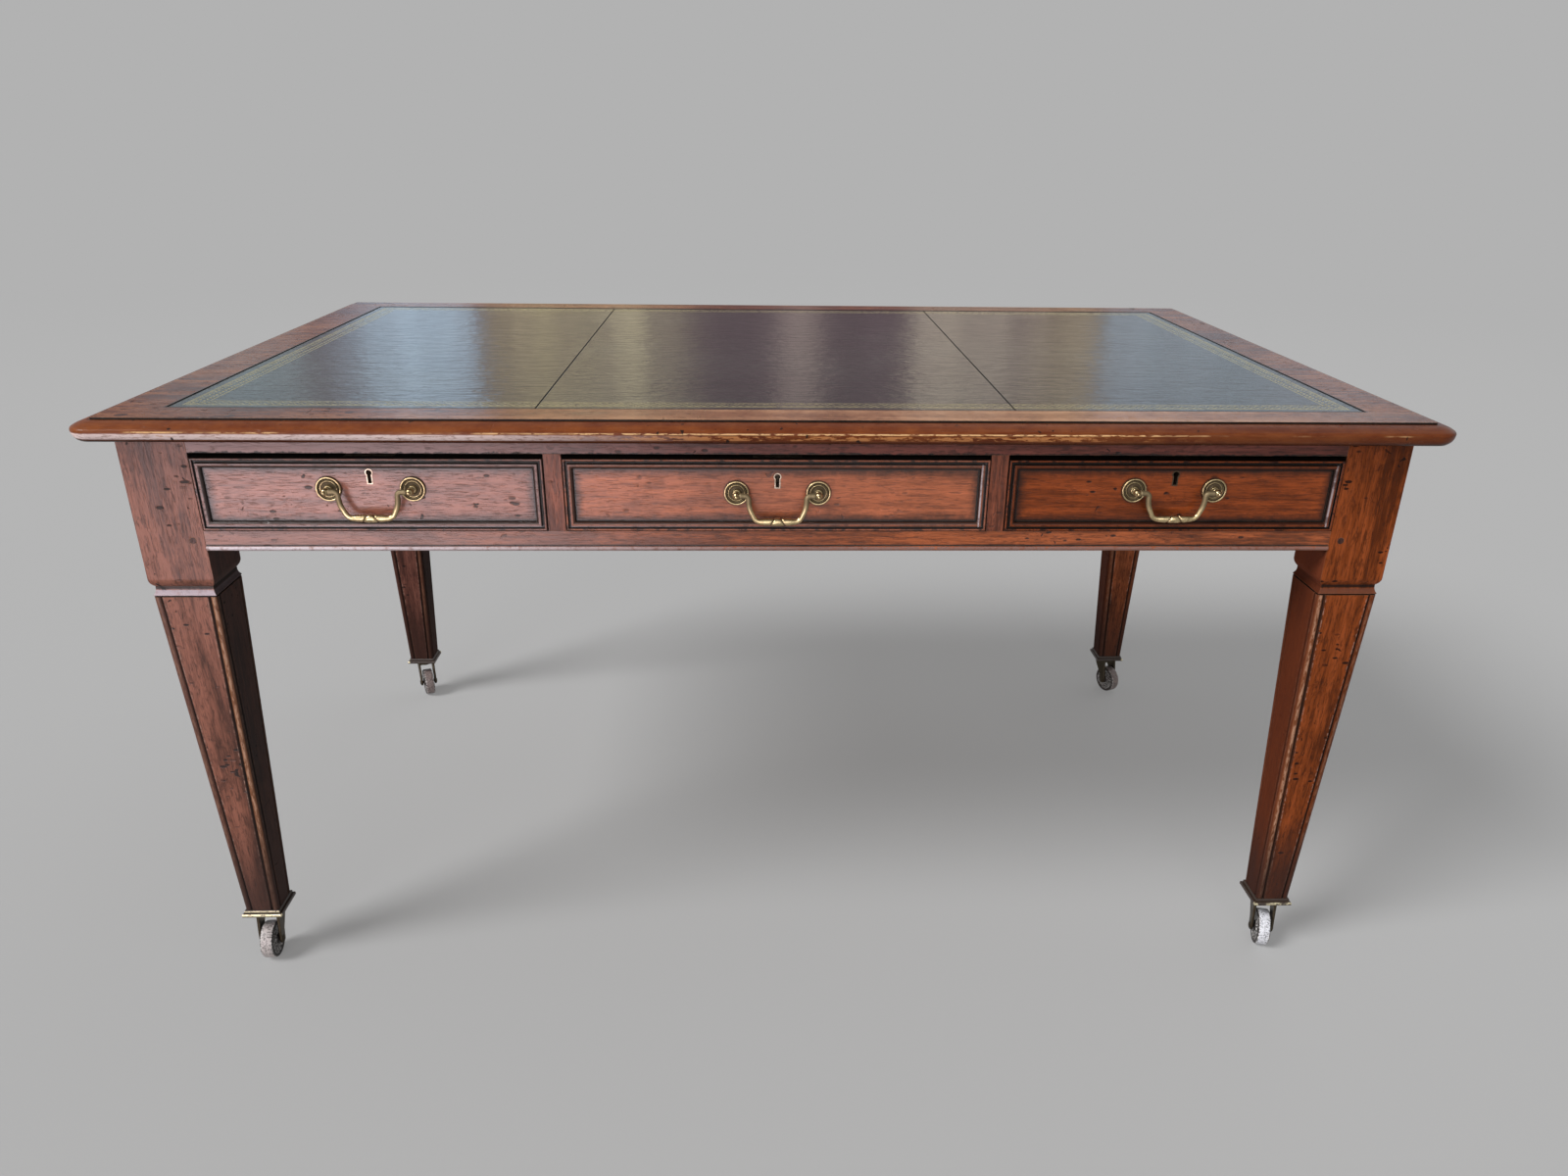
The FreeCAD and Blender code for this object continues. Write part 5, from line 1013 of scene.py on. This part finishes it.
for row, outward_sign in ROWS.items():
    for column in COLUMNS:
        drawer_name = f"{row}_{column}_drawer"
        bail_pivot = tuple(PIVOTS[f"{drawer_name}_bail_swing"])
        make_roses(drawer_name, outward_sign, aged_brass(f"{drawer_name}_rose_brass", rings=bail_pivot))
        make_bail(drawer_name, outward_sign, BRASS)

for castor, colours in CASTORS.items():
    make_castor(castor, *colours, HORN_BRASS)


# ---------- floor, light and camera

WHITE, BLACK = (1.0, 1.0, 1.0), (0.0, 0.0, 0.0)
BACKDROP = (0.445, 0.445, 0.445)
SKY = 0.27
FLOOR_GREY = (0.494, 0.494, 0.494)
FLOOR_HALF = 30.0
# Directional lights: direction, strength, spread in degrees
SUNS = {
    "key": ((0.67, 0.33, -0.66), 2.6, 24),
    "fill": ((0.1, 0.97, -0.22), 1.1, 50),
    "back_fill": ((-0.6, -0.5, -0.62), 0.25, 60),
}
# The room that the leather mirrors: left and right limit in X, colour, width of the left and right fade,
# depth of the folds, and spacing of the glazing bars where there are any
ROOM = {
    "side_window": (-3.4, -2.1, (0.2, 0.33, 0.36), 0.5, 0.3, 0.2),
    "window_left": (-2.3, -1.42, (0.55, 0.8, 0.98), 0.45, 0.03, 0.1, 0.09),
    "curtain_left": (-1.42, -0.2, (0.445, 0.412, 0.23), 0.17, 0.57, 0.75),
    "curtain_olive": (-1.42, -0.75, (0.115, 0.095, 0.015), 0.03, 0.4, 0.4),
    "wall_glow": (0.02, 0.36, (0.28, 0.23, 0.19), 0.14, 0.14, 0.2),
    "curtain_right": (0.73, 1.74, (0.4, 0.36, 0.26), 0.05, 0.03, 0.6),
    "curtain_gold": (1.25, 1.74, (0.12, 0.1, 0.02), 0.32, 0.03, 0.3),
    "window_right": (1.74, 4.3, (0.27, 0.4, 0.46), 0.02, 1.0, 0.15),
}
ROOM_STRENGTH = 1.5
ROOM_DISTANCE, ROOM_MIDDLE, ROOM_HEIGHT = 4.2, 1.5, 2.0


def seen_rays(nodes):
    """1 for what the camera sees, directly or in a gloss or through glass."""
    path = nodes.add("LightPath").outputs
    seen = nodes.larger(path["Is Camera Ray"], path["Is Glossy Ray"])
    return nodes.larger(seen, path["Is Transmission Ray"])


def make_world():
    """White sky as a light, the backdrop's grey for what is seen."""
    world = bpy.data.worlds.new("studio")
    nodes = Nodes(world)
    light = nodes.add("Background", {"Color": WHITE, "Strength": SKY}).outputs[0]
    seen = nodes.add("Background", {"Color": BACKDROP}).outputs[0]
    choice = nodes.add("MixShader", {0: seen_rays(nodes), 1: light, 2: seen}).outputs[0]
    nodes.add("OutputWorld", {"Surface": choice})
    bpy.context.scene.world = world


def rectangle(name, half_width, half_height, material):
    """A flat panel in the XY plane round the origin."""
    corners = [(x * half_width, y * half_height, 0) for x, y in ((-1, -1), (1, -1), (1, 1), (-1, 1))]
    return mesh_object(name, corners, [(0, 1, 2, 3)], material)


def make_floor():
    """Pale grey floor; a share of its grey is its own, so the shadow stays as light as in a studio sweep."""
    look = Look("floor_grey")
    distance = look.add("VectorMath", {0: look.place}, operation="LENGTH").outputs["Value"]
    look.colour = FLOOR_GREY
    look.finish(0.9, gloss=0.0)
    plain = look.add("Emission", {"Color": BACKDROP, "Strength": 1.0}).outputs[0]
    share = look.times(look.range(distance, 3.0, 8.0, 0.35, 1.0), seen_rays(look))
    fade = look.add("MixShader", {0: share, 1: look.surface.outputs[0], 2: plain}).outputs[0]
    look.join(fade, look.output.inputs["Surface"])
    rectangle("floor", FLOOR_HALF, FLOOR_HALF, look.material)


def make_sun(name, towards, strength, spread):
    data = bpy.data.lights.new(name, "SUN")
    data.energy = strength
    data.angle = math.radians(spread)
    item = bpy.data.objects.new(name, data)
    item.rotation_euler = Vector(towards).to_track_quat("-Z", "Y").to_euler()
    bpy.context.scene.collection.objects.link(item)


def make_card(name, centre, width, height, facing, colour, left, right, folds=0.0, bars=0.0, low_share=1.0,
              solid=False):
    """A soft panel that only shows in polished surfaces. left and right are how wide its edges fade."""
    look = Look(f"{name}_glow")
    x, y, _ = look.axes()
    edge = look.all_of(
        look.range(x, -width / 2, -width / 2 + left),
        look.range(x, width / 2, width / 2 - right),
        look.range(look.size(y), height / 2, height / 4),
    )
    drape = look.noise(look.moved((1.0, 0.03, 1.0)), 9.0, 4.0, 0.7)
    drape = look.range(drape, 0.38, 0.6, 1.0 - folds, 1.0 + folds)
    rising = look.range(y, -0.32, 0.38, low_share, 1.1)
    uneven = look.range(look.noise(look.moved((0.25, 1.0, 1.0)), 7.0, 2.0, 0.5), 0.36, 0.64, 0.65, 1.3)
    strength = look.all_of(edge, drape, rising, uneven)
    if bars:
        bar = look.range(look.math("PINGPONG", x, bars), 0.0, 0.035, 0.6, 1.0)
        strength = look.times(strength, bar)
    glow = look.add("Emission", {"Color": colour, "Strength": strength}).outputs[0]
    clear = look.mix(edge, WHITE, BLACK) if solid else WHITE
    clear = look.add("BsdfTransparent", {"Color": clear}).outputs[0]
    look.join(look.add("AddShader", {0: clear, 1: glow}).outputs[0], look.output.inputs["Surface"])
    card = rectangle(name, width / 2, height / 2, look.material)
    card.location = centre
    card.rotation_euler = Vector(facing).to_track_quat("Z", "Y").to_euler()
    for ray in ("camera", "diffuse", "shadow", "transmission"):
        setattr(card, f"visible_{ray}", False)


def make_room():
    """The dark wall behind everything, its windows and curtains, and the sheen on the near left side."""
    towards_desk = (0, -1, 0)
    make_card("room", (0.0, 4.6, 1.6), 10.0, 3.0, towards_desk, (0.28, 0.2, 0.23), 0.8, 0.8, 0.1,
              low_share=0.8, solid=True)
    for name, (low, high, colour, *edges) in ROOM.items():
        centre = ((low + high) / 2, ROOM_DISTANCE, ROOM_MIDDLE)
        shine = toned(colour, ROOM_STRENGTH)
        make_card(name, centre, high - low, ROOM_HEIGHT, towards_desk, shine, *edges, low_share=0.62)
    make_card("sheen_left", (-0.8, -1.9, 0.22), 2.2, 1.0, (0, 1, 0), (6.4, 5.4, 5.8), 1.3, 0.4)


# The camera: lens and optical centre in pixels of the picture, place in millimetres, angles in degrees
PICTURE_WIDTH = 1600
FOCAL_PX, SHIFT_RIGHT_PX, SHIFT_DOWN_PX = 1155.04, 15.28, 54.15
SENSOR_WIDTH = 36.0
CAMERA_AT = (-22.88, -1680.97, 1042.05)
PITCH, YAW, ROLL = 24.2315, 2.2786, -0.756


def make_camera():
    pitch, yaw, roll = math.radians(PITCH), math.radians(YAW), math.radians(ROLL)
    ahead = Vector((math.sin(yaw) * math.cos(pitch), math.cos(yaw) * math.cos(pitch), -math.sin(pitch)))
    level = Vector((math.cos(yaw), -math.sin(yaw), 0))
    down = ahead.cross(level)
    right = level * math.cos(roll) + down * math.sin(roll)
    up = level * math.sin(roll) - down * math.cos(roll)
    data = bpy.data.cameras.new("photo_view")
    data.sensor_width = SENSOR_WIDTH
    data.lens = FOCAL_PX / PICTURE_WIDTH * SENSOR_WIDTH
    data.shift_x = -SHIFT_RIGHT_PX / PICTURE_WIDTH
    data.shift_y = SHIFT_DOWN_PX / PICTURE_WIDTH
    item = bpy.data.objects.new("photo_view", data)
    turn = Matrix((right, up, -ahead)).transposed().to_4x4()
    item.matrix_world = Matrix.Translation(Vector(CAMERA_AT) * MM) @ turn
    bpy.context.scene.collection.objects.link(item)
    bpy.context.scene.camera = item


make_world()
make_floor()
for sun, beam in SUNS.items():
    make_sun(sun, *beam)
make_room()
make_camera()
bpy.context.scene.view_settings.view_transform = "Standard"
